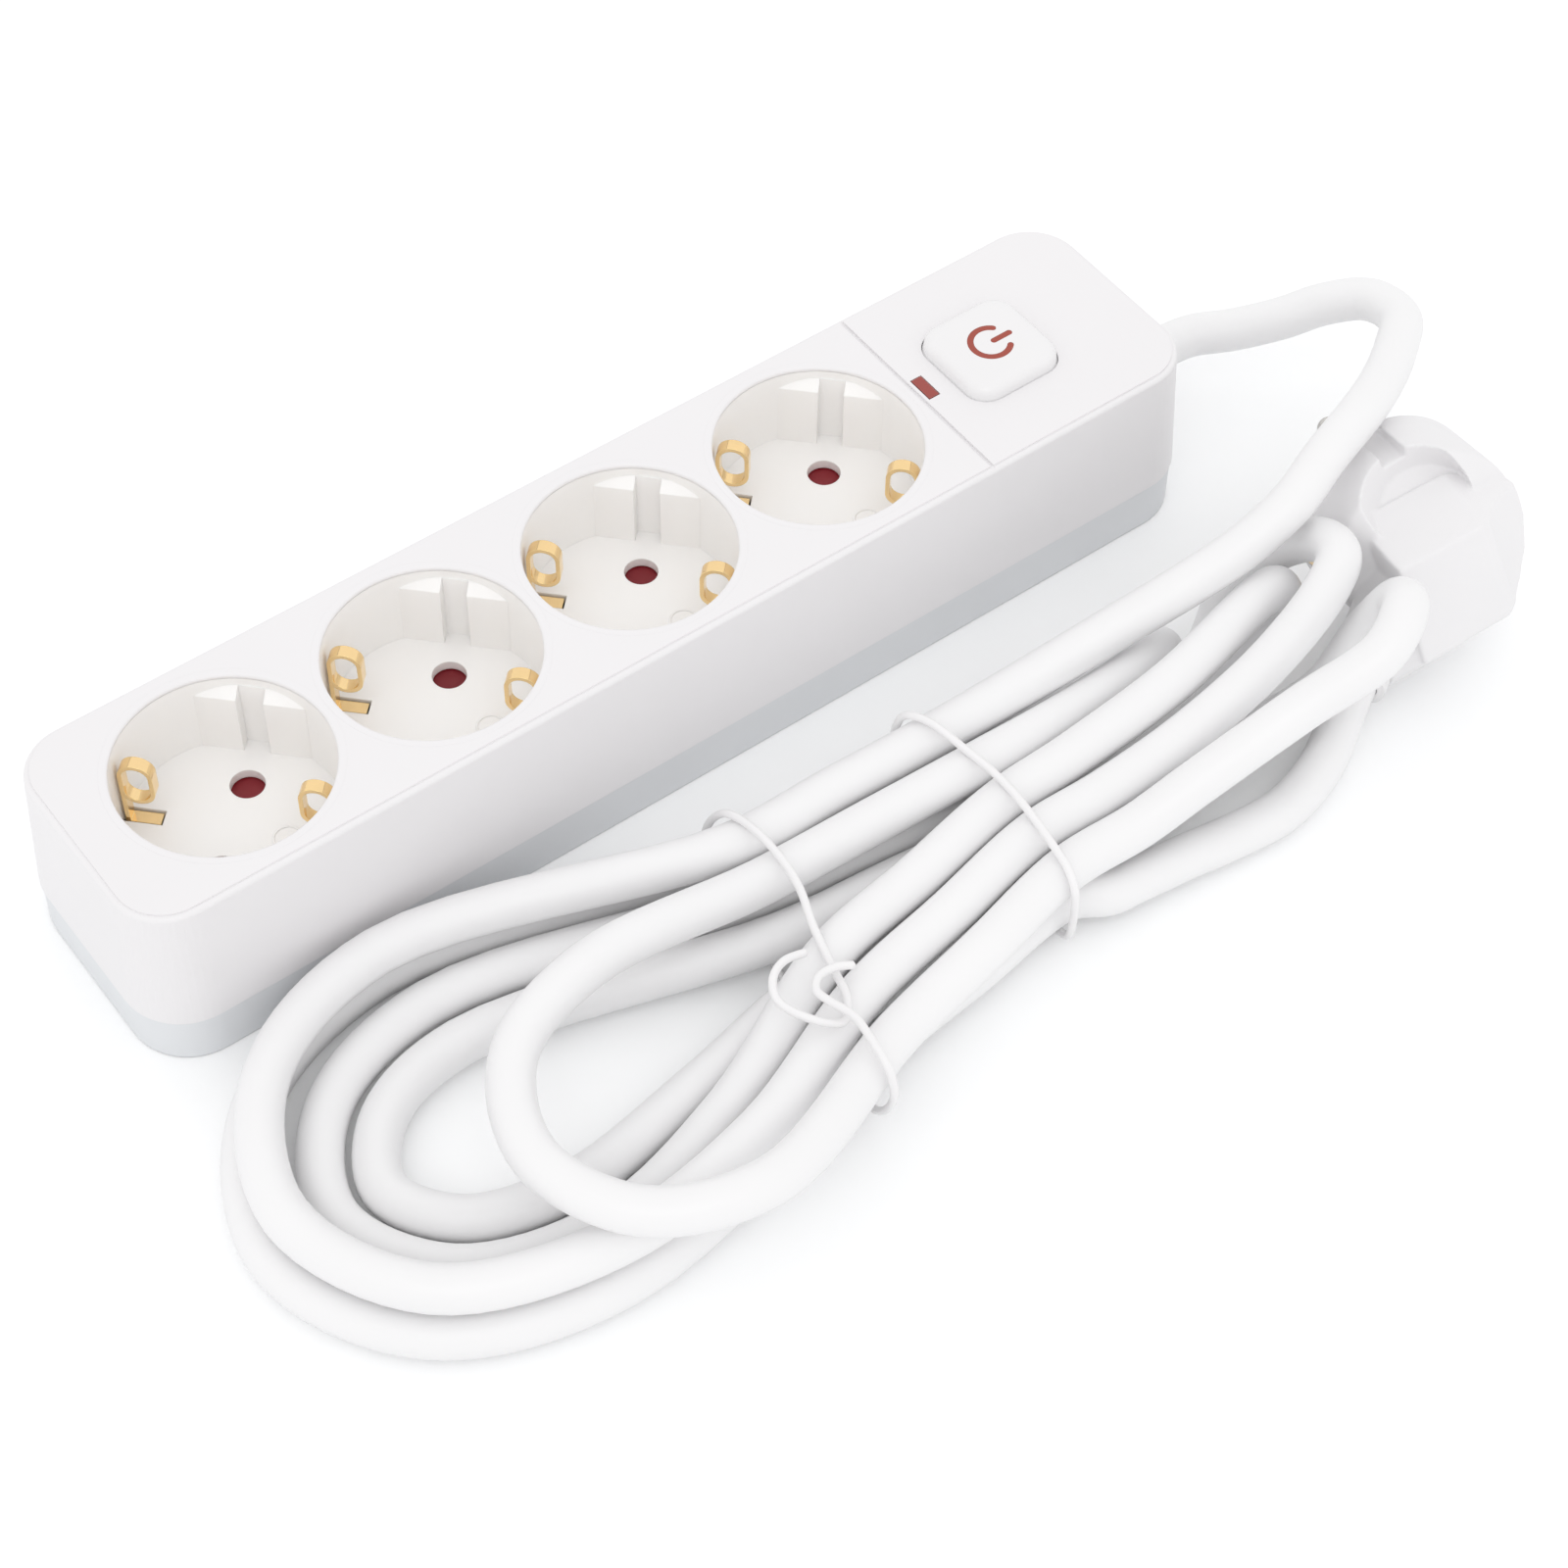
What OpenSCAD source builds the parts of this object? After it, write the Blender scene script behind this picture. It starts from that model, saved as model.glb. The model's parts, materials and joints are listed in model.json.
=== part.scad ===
// Four-way power strip on a free cord: moulded housing, recessed sockets with safety
// shutters and earth clips, push-button switch, hanked supply cord and side-entry plug.
// Millimetres. Origin: bottom centre of the housing. +X towards the cord's end, +Z up.

/* [Housing] */
// Length at the seam between cover and base
body_l = 230.2; // [230:0.1:260]
// Width at the seam
body_w = 51; // [50.5:0.1:60]
// Height of the deck above the surface the strip stands on
body_h = 38.4; // [38.4:0.1:44]
// Corner radius at the seam, seen from above
corner_r = 12; // [9:0.5:14]
// How far each side leans in between the seam and the deck
side_draft = 1.7; // [0.5:0.1:1.8]
// Thickness of the cover's side walls
wall = 2.2; // [1.6:0.1:2.3]
// Thickness of the cover's deck
deck_t = 2.2; // [1.8:0.1:2.6]
// Rounding along the deck's outer edge
edge_r = 0.9; // [0.4:0.1:1.2]
// Height of the raised panel on the deck
panel_h = 0.35; // [0.2:0.05:0.5]
// Width of the ledge round the raised panel
panel_ledge = 1.1; // [0.8:0.1:1.8]
// Height of the seam between base tray and cover
base_h = 10.5; // [9:0.5:11]
// How far the tray's sides stand back from the cover's lower edge
base_inset = 0.3; // [0:0.1:0.6]
// Thickness of the tray's floor
floor_t = 2.2; // [2:0.1:2.3]
// Height of the lip that locates the cover on the tray
lip_h = 2.5; // [1.5:0.5:3]
// Width of the fine groove between sockets and switch panel
groove_w = 0.8; // [0.5:0.1:1.2]

/* [Sockets] */
// Number of sockets
socket_count = 4; // [4:1:4]
// Distance between neighbouring sockets
socket_pitch = 42; // [42:0.1:43]
// Inner diameter of a socket's recess
well_d = 39; // [38.6:0.1:39]
// Depth of the recess below its rim
well_depth = 17.6; // [17.4:0.1:17.6]
// Thickness of a socket's round wall
cup_wall = 0.8; // [0.6:0.1:0.8]
// Thickness of a socket's floor
cup_floor_t = 2; // [1.8:0.1:2.2]
// Spacing of the two pin holes
pin_pitch = 19; // [18.8:0.1:19.2]
// Diameter of a pin hole
pin_hole_d = 6.3; // [5.6:0.1:6.6]
// Distance from the socket's centre to the flat of a guide block
guide_flat = 16.8; // [16.4:0.1:17.2]
// Width of a guide block
guide_w = 19.7; // [18:0.1:21]
// Width of the slot down the middle of a guide block
guide_slot_w = 4.8; // [4:0.1:6]
// How far the top of a guide block lies below the rim
guide_drop = 2.6; // [2:0.1:4]
// Thickness of a safety shutter
shutter_t = 2.5; // [2:0.1:2.5]
// Angle that a shutter turns to free the pin holes
shutter_swing = 40; // [39:1:44]
// Width of an earth clip's strip
clip_w = 2.4; // [2.4:0.1:3.2]
// Thickness of the brass strip
strip_t = 0.8; // [0.6:0.1:0.9]
// Outer radius of the loop at the top of an earth clip
clip_loop_r = 3.1; // [2.6:0.1:3.3]

/* [Switch] */
// Distance from the housing's centre to the button's centre
button_x = 82; // [81.5:0.1:83]
// Side of the square button where it meets the deck
button_side = 20.4; // [19.6:0.1:20.6]
// Side of the button's flat top
button_top = 16.6; // [14:0.1:17]
// Corner radius of the button
button_r = 5; // [4:0.1:6]
// How far the button stands above the deck
button_h = 2.8; // [2:0.1:3.2]
// Travel of the button
button_travel = 3; // [2:0.1:3]
// Outer radius of the power symbol's ring
icon_r = 4.4; // [3.5:0.1:5]
// Width of the power symbol's line
icon_w = 1.25; // [0.8:0.05:1.5]
// Length of the indicator window across the strip
lens_l = 5.5; // [4:0.1:6]
// Width of the indicator window along the strip
lens_w = 2.2; // [1.8:0.1:2.4]
// Distance from the button's centre to the indicator window
lens_offset = 15.3; // [15:0.1:15.5]
// Distance from the button's centre to the groove across the deck
groove_offset = 17.6; // [17.5:0.1:17.8]

/* [Cord] */
// Diameter of the cord
cord_d = 8.4; // [8:0.1:8.4]
// Height of the cord's axis where it leaves the housing
exit_z = 13; // [12.6:0.1:13.4]
// Length of the short bushing outside the housing
gland_l = 6; // [4:0.5:7]
// Wall of the bushing
gland_wall = 1.8; // [1.4:0.1:2]
// Diameter of the tie's wire
tie_d = 1.5; // [1.2:0.1:1.5]

/* [Plug] */
// Diameter of the plug's round face
plug_face_d = 37; // [36:0.1:37.2]
// Depth of the plug's round front part
plug_front_h = 17; // [15:0.5:18]
// Diameter of a plug pin
pin_d = 4.8; // [4.7:0.05:4.8]
// Free length of a plug pin
pin_l = 19; // [18.5:0.1:19]

/* [Fits] */
// Gap between parts that are assembled by hand
fit = 0.2; // [0.15:0.05:0.3]
// Gap at which a part rests over its seat
seat = 0.3; // [0.2:0.05:0.3]
// Radial gap of a shutter on its pivot
pivot_gap = 0.05; // [0.03:0.01:0.08]

/* [Hidden] */
$fn = 64;
eps = 0.01;

// Heights of the housing
deck_z = body_h - panel_h;
ceiling_z = deck_z - deck_t;
lip_gap = 0.5;
lip_t = 1;
lip_z = base_h + lip_h;
cavity_l = body_l - 2 * wall;
cavity_w = body_w - 2 * wall;
tray_hollow_l = cavity_l - 2 * (lip_gap + lip_t);
tray_hollow_w = cavity_w - 2 * (lip_gap + lip_t);
groove_depth = 0.5;

// Sockets: positions, and the levels of what lies under them
sockets_mid = -21;
well_r = well_d / 2;
rim_r = well_r + cup_wall;
opening_r = rim_r + fit;
well_floor_z = body_h - well_depth;
cup_under_z = well_floor_z - cup_floor_t;
shutter_z = cup_under_z - seat - shutter_t;
bow_z = shutter_z - seat - strip_t;
earth_bar_z = bow_z - strip_t;
pin_turn = 45;
earth_turn = pin_turn + 90;
pin_off = pin_pitch / 2 * cos(pin_turn);
function socket_x(i) = sockets_mid + (i - (socket_count - 1) / 2) * socket_pitch;

// Clip geometry in a socket
clip_gap = 0.6;
riser_r = well_r - clip_gap;
clip_top_drop = 2.6;
clip_loop_z = body_h - clip_top_drop - clip_loop_r;
clip_loop_drop = 3.8;
clip_foot_z = well_floor_z - 1.2;
clip_slot_in_r = 12.4;
clip_slot_w = clip_w + 0.8;
pivot_r = 2;
lobe_r = 13.6;
lobe_half_angle = shutter_swing / 2 + 2;
hub_r = 5.5;

// Contact rails
rail_z = 3.2;
contact_top_z = shutter_z - 3;
rail_h = contact_top_z - rail_z - 3.8;
contact_gap = pin_d / 2 + 0.1;
contact_half = 3;
rail_start = socket_x(0) - 12;
rail_end = socket_x(socket_count - 1) + 22;
rib_w = 3;

// Screw posts between the sockets and beside the cord's clamp
post_r = 3;
post_y = body_w / 2 - side_draft - wall - post_r;
clamp_x = cavity_l / 2 - 10.9;
post_xs = [socket_x(0) + socket_pitch / 2, socket_x(2) + socket_pitch / 2, clamp_x - 4];
screw_r = 1.45;
screw_head_r = 2.8;
screw_head_t = 2.3;
screw_head_z = 1.2;
screw_l = 18;
cup_post_y = rim_r - 2.8;
cup_post_r = 2.2;

// Switch
button_z = body_h + button_h;
flange_t = 1.6;
flange_side = button_side + 2.4;
flange_z = ceiling_z - seat - flange_t;
button_hole = button_side + 2 * fit + 0.3;
button_hollow = 13;
button_skin = 2.4;
switch_l = 18;
switch_w = 16;
switch_wall = 1.2;
switch_top_z = flange_z - 6.4;
switch_base_t = 2;
switch_floor_z = floor_t + switch_base_t;
stem_side = 6;
collar_r = 7;
collar_t = 1.2;
collar_z = flange_z - collar_t - 0.1;
terminal_top_z = switch_floor_z + 9.8;
terminal_y = 4;
pole_x = 4.5;
bridge_z = terminal_top_z + button_travel + 0.2;
spring_wire = 0.7;
spring_turns = 2.5;
spring_r = stem_side / 2 * sqrt(2) + spring_wire / 2 + 0.4;
icon_depth = 0.3;
lens_x = button_x - lens_offset;
groove_x = button_x - groove_offset;
lamp_r = 2.4;
lamp_body = 7;
lens_flange_z = ceiling_z - seat - 1;
lamp_z = lens_flange_z - 0.5 - lamp_r - lamp_body;

// Cord entry
cord_r = cord_d / 2;
gland_bore_r = cord_r + 0.1;
gland_r = gland_bore_r + gland_wall;
gland_flange_r = gland_r + 1.5;
gland_end_x = body_l / 2 + gland_l;
tail_start_x = clamp_x - 5.5;
clamp_l = 8;
clamp_w = 26;
clamp_screw_y = 9;
clamp_block_z = exit_z - cord_r;
clamp_top_z = exit_z + cord_r + 2.4;

// ---- Shared shapes ----

// Flat rectangle with round corners, centred
module round_rect(l, w, r) {
    square([l - 2 * r, w], center = true);
    square([l, w - 2 * r], center = true);
    for (sx = [-1, 1], sy = [-1, 1])
        translate([sx * (l / 2 - r), sy * (w / 2 - r)]) circle(r);
}

module round_plate(l, w, r, z0, z1) {
    translate([0, 0, z0]) linear_extrude(z1 - z0) round_rect(l, w, r);
}

module rod(r, z0, z1) {
    translate([0, 0, z0]) cylinder(r = r, h = z1 - z0);
}

// Box from its lowest to its highest corner
module block(a, b) {
    translate(a) cube(b - a);
}

module x_rod(r, x0, x1, z) {
    translate([x0, 0, z]) rotate([0, 90, 0]) cylinder(r = r, h = x1 - x0);
}

// Copies at both sides of the strip's long axis, at each row of screws
module at_screw_posts() {
    for (x = post_xs, s = [-1, 1]) translate([x, s * post_y, 0]) children();
}

// ---- Tubes along a route ----

function unit(v) = v / norm(v);

// Point at the share t of the way from p1 to p2 on the smooth curve through four points,
// with its speed set by the square roots of their distances
function spline_point(p0, p1, p2, p3, t) =
    let (a = sqrt(norm(p1 - p0)), b = sqrt(norm(p2 - p1)), c = sqrt(norm(p3 - p2)), u = b * t,
        q0 = p1 + (p1 - p0) * u / a,
        q1 = p1 + (p2 - p1) * t,
        q2 = p2 + (p3 - p2) * (u - b) / c,
        r0 = q0 + (q1 - q0) * (u + a) / (a + b),
        r1 = q1 + (q2 - q1) * u / (b + c))
    r0 + (r1 - r0) * t;

// Smooth curve through the points, with the given number of steps in each stretch
function smooth_route(p, steps) =
    let (last = len(p) - 1)
    concat([for (i = [0 : last - 1], k = [0 : steps - 1])
        spline_point(
            i == 0 ? 2 * p[0] - p[1] : p[i - 1], p[i], p[i + 1],
            i == last - 1 ? 2 * p[last] - p[last - 1] : p[i + 2], k / steps)],
        [p[last]]);

function route_dir(p, i) =
    unit(i == 0 ? p[1] - p[0] : i == len(p) - 1 ? p[i] - p[i - 1] : p[i + 1] - p[i - 1]);

function across(v, d) = unit(v - (v * d) * d);

// Directions square to the route, each turned as little as possible from the one before
function route_sides(p) =
    let (d0 = route_dir(p, 0), up = abs(d0[2]) > 0.9 ? [1, 0, 0] : [0, 0, 1])
    [for (i = 0, s = across(up, d0); i < len(p);
        i = i + 1, s = i < len(p) ? across(s, route_dir(p, i)) : s) s];

// Closed round tube along the points
module tube(p, r, sides) {
    s = route_sides(p);
    rings = len(p);
    points = [for (i = [0 : rings - 1], k = [0 : sides - 1])
        let (d = route_dir(p, i), a = 360 * k / sides)
        p[i] + r * cos(a) * s[i] + r * sin(a) * cross(d, s[i])];
    walls = [for (i = [0 : rings - 2], k = [0 : sides - 1])
        let (a = i * sides + k, b = i * sides + (k + 1) % sides)
        each [[a, a + sides, b], [b, a + sides, b + sides]]];
    first_cap = [for (k = [1 : sides - 2]) [0, k, k + 1]];
    end = (rings - 1) * sides;
    last_cap = [for (k = [1 : sides - 2]) [end, end + k + 1, end + k]];
    polyhedron(points = points, faces = concat(walls, first_cap, last_cap), convexity = 10);
}

// ---- Housing ----

// Drafted block with round upright corners and a rounded upper edge
module cover_outside() {
    hull() for (sx = [-1, 1], sy = [-1, 1])
        translate([sx * (body_l / 2 - corner_r), sy * (body_w / 2 - corner_r), 0]) {
            translate([0, 0, base_h]) cylinder(r = corner_r, h = eps, $fn = 48);
            translate([0, 0, deck_z - edge_r])
                rotate_extrude($fn = 48)
                    translate([corner_r - side_draft - edge_r, 0]) circle(edge_r, $fn = 20);
        }
}

module cover_hollow() {
    r = corner_r - wall;
    hull() for (sx = [-1, 1], sy = [-1, 1])
        translate([sx * (body_l / 2 - corner_r), sy * (body_w / 2 - corner_r), 0]) {
            translate([0, 0, base_h - 1]) cylinder(r = r, h = eps, $fn = 32);
            translate([0, 0, ceiling_z - eps]) cylinder(r = r - side_draft, h = eps, $fn = 32);
        }
}

module at_sockets() {
    for (i = [0 : socket_count - 1]) translate([socket_x(i), 0, 0]) children();
}

// Hole for the bushing, with a pocket inside for its inner flange
module gland_hole() {
    x_rod(gland_r + fit, body_l / 2 - 8, body_l / 2 + 8, exit_z);
    x_rod(gland_flange_r + fit, body_l / 2 - 8, cavity_l / 2, exit_z);
}

module top_cover() {
    inset = side_draft + panel_ledge;
    color([0.95, 0.95, 0.95]) difference() {
        union() {
            difference() {
                union() {
                    cover_outside();
                    round_plate(body_l - 2 * inset, body_w - 2 * inset, corner_r - inset,
                        deck_z - 1, body_h);
                }
                cover_hollow();
            }
            at_screw_posts() rod(post_r, lip_z, ceiling_z + 1);
        }
        at_sockets() rod(opening_r, ceiling_z - 2, body_h + 1);
        translate([button_x, 0, 0])
            round_plate(button_hole, button_hole, button_r, ceiling_z - 1, body_h + 1);
        block([lens_x - lens_w / 2 - fit, -lens_l / 2 - fit, ceiling_z - 1],
            [lens_x + lens_w / 2 + fit, lens_l / 2 + fit, body_h + 1]);
        block([groove_x - groove_w / 2, -body_w, body_h - groove_depth],
            [groove_x + groove_w / 2, body_w, body_h + 1]);
        at_screw_posts() rod(screw_r + 0.15, lip_z - 1, screw_head_z + screw_head_t + screw_l + 1);
        gland_hole();
    }
}

module rail_cradle(y) {
    difference() {
        block([-rib_w / 2, y - 2.4, floor_t - 1], [rib_w / 2, y + 2.4, rail_z + 2]);
        block([-rib_w, y - strip_t / 2 - fit, rail_z], [rib_w, y + strip_t / 2 + fit, rail_z + 3]);
    }
}

module base_tray() {
    tray_l = body_l - 2 * base_inset;
    tray_w = body_w - 2 * base_inset;
    rail_y = pin_off + contact_gap + strip_t / 2;
    color([0.78, 0.81, 0.85]) difference() {
        union() {
            difference() {
                union() {
                    round_plate(tray_l, tray_w, corner_r - base_inset, 0, base_h);
                    round_plate(cavity_l - 2 * lip_gap, cavity_w - 2 * lip_gap,
                        corner_r - wall - lip_gap, base_h - 1, lip_z);
                }
                round_plate(tray_hollow_l, tray_hollow_w, corner_r - wall - lip_gap - lip_t,
                    floor_t, lip_z + 1);
            }
            at_screw_posts() {
                rod(post_r + 0.4, floor_t - 1, lip_z);
                rod(post_r + 1.6, floor_t - 1, screw_head_z + screw_head_t + 1.5);
            }
            at_sockets() for (s = [-1, 1])
                translate([0, s * cup_post_y, 0]) rod(cup_post_r, floor_t - 1, cup_under_z);
            for (i = [0 : socket_count - 1]) translate([socket_x(i) + socket_pitch / 2, 0, 0]) {
                for (s = [-1, 1]) rail_cradle(s * rail_y);
                if (i < socket_count - 1)
                    block([-rib_w / 2, -3, floor_t - 1], [rib_w / 2, 3, earth_bar_z]);
            }
            translate([lens_x, 0, 0]) rod(lamp_r + 0.4, floor_t - 1, lamp_z);
            block([clamp_x - clamp_l / 2, -clamp_w / 2, floor_t - 1],
                [clamp_x + clamp_l / 2, clamp_w / 2, clamp_block_z]);
        }
        at_screw_posts() {
            rod(screw_head_r + 0.3, -1, screw_head_z + screw_head_t);
            rod(screw_r + 0.25, 0, lip_z + 1);
        }
        at_sockets() for (s = [-1, 1])
            translate([s * pin_off, s * pin_off, 0]) rod(pin_hole_d / 2, floor_t - 0.6, floor_t + 1);
        for (s = [-1, 1])
            translate([clamp_x, s * clamp_screw_y, 0]) rod(screw_r + 0.15, floor_t + 1, lip_z);
        gland_hole();
    }
}

module screw(z, length) {
    rod(screw_head_r, z, z + screw_head_t);
    rod(screw_r, z + screw_head_t - eps, z + screw_head_t + length);
}

module cover_screws() {
    color([0.72, 0.72, 0.74]) at_screw_posts() difference() {
        screw(screw_head_z, screw_l);
        for (a = [0, 90]) rotate([0, 0, a])
            block([-1.6, -0.35, 0], [1.6, 0.35, screw_head_z + 1.2]);
    }
}

// ---- Sockets ----

// Two guide blocks on the line through the pins, each with a slot down its middle
module guide_blocks() {
    top_z = body_h - guide_drop;
    for (s = [0, 180]) rotate([0, 0, pin_turn + s]) difference() {
        intersection() {
            rod(well_r + cup_wall / 2, well_floor_z - eps, top_z);
            block([guide_flat, -guide_w / 2, well_floor_z - 1], [rim_r, guide_w / 2, top_z]);
        }
        block([guide_flat - 1, -guide_slot_w / 2, well_floor_z + eps],
            [well_r - 0.3, guide_slot_w / 2, top_z + 1]);
        // sloping top, highest at the wall
        translate([guide_flat, 0, top_z - 1.4]) rotate([0, -32, 0])
            block([-4, -guide_w, 0], [8, guide_w, 6]);
    }
}

module socket_cup(i) {
    color([0.95, 0.94, 0.92]) translate([socket_x(i), 0, 0]) difference() {
        union() {
            rotate_extrude() {
                translate([0, cup_under_z]) square([rim_r, cup_floor_t]);
                translate([well_r, cup_under_z])
                    square([cup_wall, body_h - cup_wall / 2 - cup_under_z]);
                translate([well_r + cup_wall / 2, body_h - cup_wall / 2]) circle(cup_wall / 2);
                // shoulder that the cover holds down
                translate([well_r, ceiling_z - seat - 1.5]) square([cup_wall + 0.5, 1.5]);
            }
            guide_blocks();
            rod(pivot_r, shutter_z - 0.1, well_floor_z - 0.5);
            // plain moulded ring on the floor
            translate([6.2, -7.5, well_floor_z - eps]) difference() {
                cylinder(r = 2.7, h = 0.15);
                translate([0, 0, -1]) cylinder(r = 2.3, h = 2);
            }
        }
        for (s = [-1, 1]) translate([s * pin_off, s * pin_off, 0])
            rod(pin_hole_d / 2, cup_under_z - 1, well_floor_z + 1);
        for (s = [0, 180]) rotate([0, 0, earth_turn + s])
            block([clip_slot_in_r, -clip_slot_w / 2, cup_under_z - 1],
                [well_r - 0.1, clip_slot_w / 2, well_floor_z + 1]);
    }
}

module socket_cup_1() { socket_cup(0); }
module socket_cup_2() { socket_cup(1); }
module socket_cup_3() { socket_cup(2); }
module socket_cup_4() { socket_cup(3); }

// Rotor with one lobe under each pin hole
module shutter(i) {
    a = lobe_half_angle;
    far = 2 * lobe_r;
    color([0.5, 0.06, 0.08]) translate([socket_x(i), 0, shutter_z]) difference() {
        linear_extrude(shutter_t) {
            circle(hub_r);
            for (s = [0, 180]) rotate(pin_turn + s) intersection() {
                circle(lobe_r);
                polygon([[0, 0], far * [cos(a), -sin(a)], far * [cos(a), sin(a)]]);
            }
        }
        translate([0, 0, -1]) cylinder(r = pivot_r + pivot_gap, h = shutter_t + 2);
    }
}

module shutter_1() { shutter(0); }
module shutter_2() { shutter(1); }
module shutter_3() { shutter(2); }
module shutter_4() { shutter(3); }

module long_loop(r) {
    circle(r);
    translate([0, -clip_loop_drop]) circle(r);
    translate([-r, -clip_loop_drop]) square([2 * r, clip_loop_drop]);
}

// Side view of one earth clip: a riser with a tall loop at its top and a foot that lies in
// the slot of the socket's floor
module clip_outline() {
    translate([riser_r - strip_t, bow_z]) square([strip_t, clip_loop_z - bow_z]);
    translate([clip_slot_in_r + 0.4, clip_foot_z]) square([riser_r - clip_slot_in_r - 0.4, strip_t]);
    translate([riser_r - clip_loop_r, clip_loop_z]) difference() {
        long_loop(clip_loop_r);
        long_loop(clip_loop_r - strip_t);
    }
}

module earth_bow(i) {
    color([0.85, 0.66, 0.3]) translate([socket_x(i), 0, 0]) rotate([0, 0, earth_turn]) {
        for (s = [0, 180]) rotate([0, 0, s]) rotate([90, 0, 0])
            linear_extrude(clip_w, center = true) clip_outline();
        block([-riser_r, -clip_w / 2, bow_z], [riser_r, clip_w / 2, bow_z + strip_t]);
    }
}

module earth_bow_1() { earth_bow(0); }
module earth_bow_2() { earth_bow(1); }
module earth_bow_3() { earth_bow(2); }
module earth_bow_4() { earth_bow(3); }

module earth_busbar() {
    color([0.85, 0.66, 0.3])
        block([socket_x(0) - 4, -3, earth_bar_z], [socket_x(socket_count - 1) + 12, 3, bow_z]);
}

// Rail along one row of pins, with a contact at each socket; side is +1 or -1 in Y
module contact_rail(side) {
    inner = contact_gap;
    outer = contact_gap + strip_t;
    mirror([0, side < 0 ? 1 : 0, 0]) {
        block([rail_start, pin_off + inner, rail_z], [rail_end, pin_off + outer, rail_z + rail_h]);
        at_sockets() translate([side * pin_off, pin_off, 0]) {
            block([-contact_half, inner, rail_z], [contact_half, outer, contact_top_z]);
            block([-contact_half, -outer, rail_z], [contact_half, -inner, contact_top_z]);
            block([contact_half, -outer, rail_z],
                [contact_half + strip_t, outer, contact_top_z]);
        }
    }
}

module live_busbar() { color([0.85, 0.66, 0.3]) contact_rail(-1); }
module neutral_busbar() { color([0.85, 0.66, 0.3]) contact_rail(1); }

// ---- Switch and indicator ----

module button_shape() {
    difference() {
        union() {
            round_plate(flange_side, flange_side, button_r + 1, flange_z, flange_z + flange_t);
            hull() {
                round_plate(button_side, button_side, button_r, flange_z + flange_t, body_h + 0.9);
                round_plate(button_top + 1, button_top + 1, button_r - 0.4,
                    button_z - 0.6, button_z - 0.5);
                round_plate(button_top, button_top, button_r - 1, button_z - 0.1, button_z);
            }
        }
        round_plate(button_hollow, button_hollow, 2, flange_z - 1, button_z - button_skin);
        translate([0, 0, button_z - icon_depth]) linear_extrude(1) icon_outline();
    }
}

// Ring open on its right, with a bar through the opening
module icon_outline() {
    gap_angle = 36;
    difference() {
        circle(icon_r);
        circle(icon_r - icon_w);
        polygon([[0, 0], 2 * icon_r * [cos(gap_angle), -sin(gap_angle)],
            2 * icon_r * [cos(gap_angle), sin(gap_angle)]]);
    }
    translate([0.2, -icon_w / 2]) square([icon_r + 0.4, icon_w]);
}

module power_button() {
    color([0.96, 0.96, 0.96]) translate([button_x, 0, 0]) button_shape();
}

module power_icon() {
    color([0.6, 0.2, 0.16]) translate([button_x, 0, button_z - icon_depth])
        linear_extrude(icon_depth) icon_outline();
}

module switch_plunger() {
    half = stem_side / 2;
    color([0.85, 0.85, 0.83]) translate([button_x, 0, 0]) {
        block([-half, -half, bridge_z + strip_t], [half, half, button_z - button_skin]);
        rod(collar_r - 1, collar_z, collar_z + collar_t);
        block([-pole_x - 1.5, -2, bridge_z + strip_t], [pole_x + 1.5, 2, bridge_z + strip_t + 2.4]);
    }
}

module switch_bridge() {
    color([0.85, 0.66, 0.3]) translate([button_x, 0, bridge_z]) for (s = [-1, 1])
        block([s * pole_x - 1.4, -terminal_y - 1, 0], [s * pole_x + 1.4, terminal_y + 1, strip_t]);
}

module switch_spring() {
    steps = 8;
    low = switch_top_z + spring_wire / 2;
    high = collar_z - spring_wire / 2;
    coil = [for (k = [0 : spring_turns * steps]) let (a = 360 * k / steps)
        [spring_r * cos(a), spring_r * sin(a), low + (high - low) * k / (spring_turns * steps)]];
    color([0.75, 0.75, 0.77]) translate([button_x, 0, 0]) tube(coil, spring_wire / 2, 6);
}

module switch_housing() {
    inner_l = switch_l - 2 * switch_wall;
    inner_w = switch_w - 2 * switch_wall;
    half = stem_side / 2 + seat;
    color([0.25, 0.25, 0.27]) translate([button_x, 0, 0]) difference() {
        block([-switch_l / 2, -switch_w / 2, switch_floor_z],
            [switch_l / 2, switch_w / 2, switch_top_z]);
        block([-inner_l / 2, -inner_w / 2, switch_floor_z - 1],
            [inner_l / 2, inner_w / 2, switch_top_z - switch_wall]);
        block([-half, -half, switch_top_z - 2], [half, half, switch_top_z + 1]);
        for (s = [-1, 1]) block([s * pole_x - 2.2, -switch_w, switch_floor_z - 1],
            [s * pole_x + 2.2, switch_w, switch_floor_z + strip_t + fit]);
    }
}

module switch_base() {
    color([0.25, 0.25, 0.27]) translate([button_x, 0, 0])
        block([-switch_l / 2, -switch_w / 2, floor_t], [switch_l / 2, switch_w / 2, switch_floor_z]);
}

// Four fixed contacts, each with a foot that comes out of the housing
module switch_terminals() {
    foot_end = switch_w / 2 + 2.5;
    color([0.85, 0.66, 0.3]) translate([button_x, 0, 0])
        for (sx = [-1, 1], sy = [0, 1]) mirror([0, sy, 0]) translate([sx * pole_x, 0, 0]) {
            block([-2, terminal_y - strip_t / 2, switch_floor_z],
                [2, foot_end, switch_floor_z + strip_t]);
            block([-2, terminal_y - strip_t / 2, switch_floor_z],
                [2, terminal_y + strip_t / 2, terminal_top_z]);
        }
}

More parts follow.
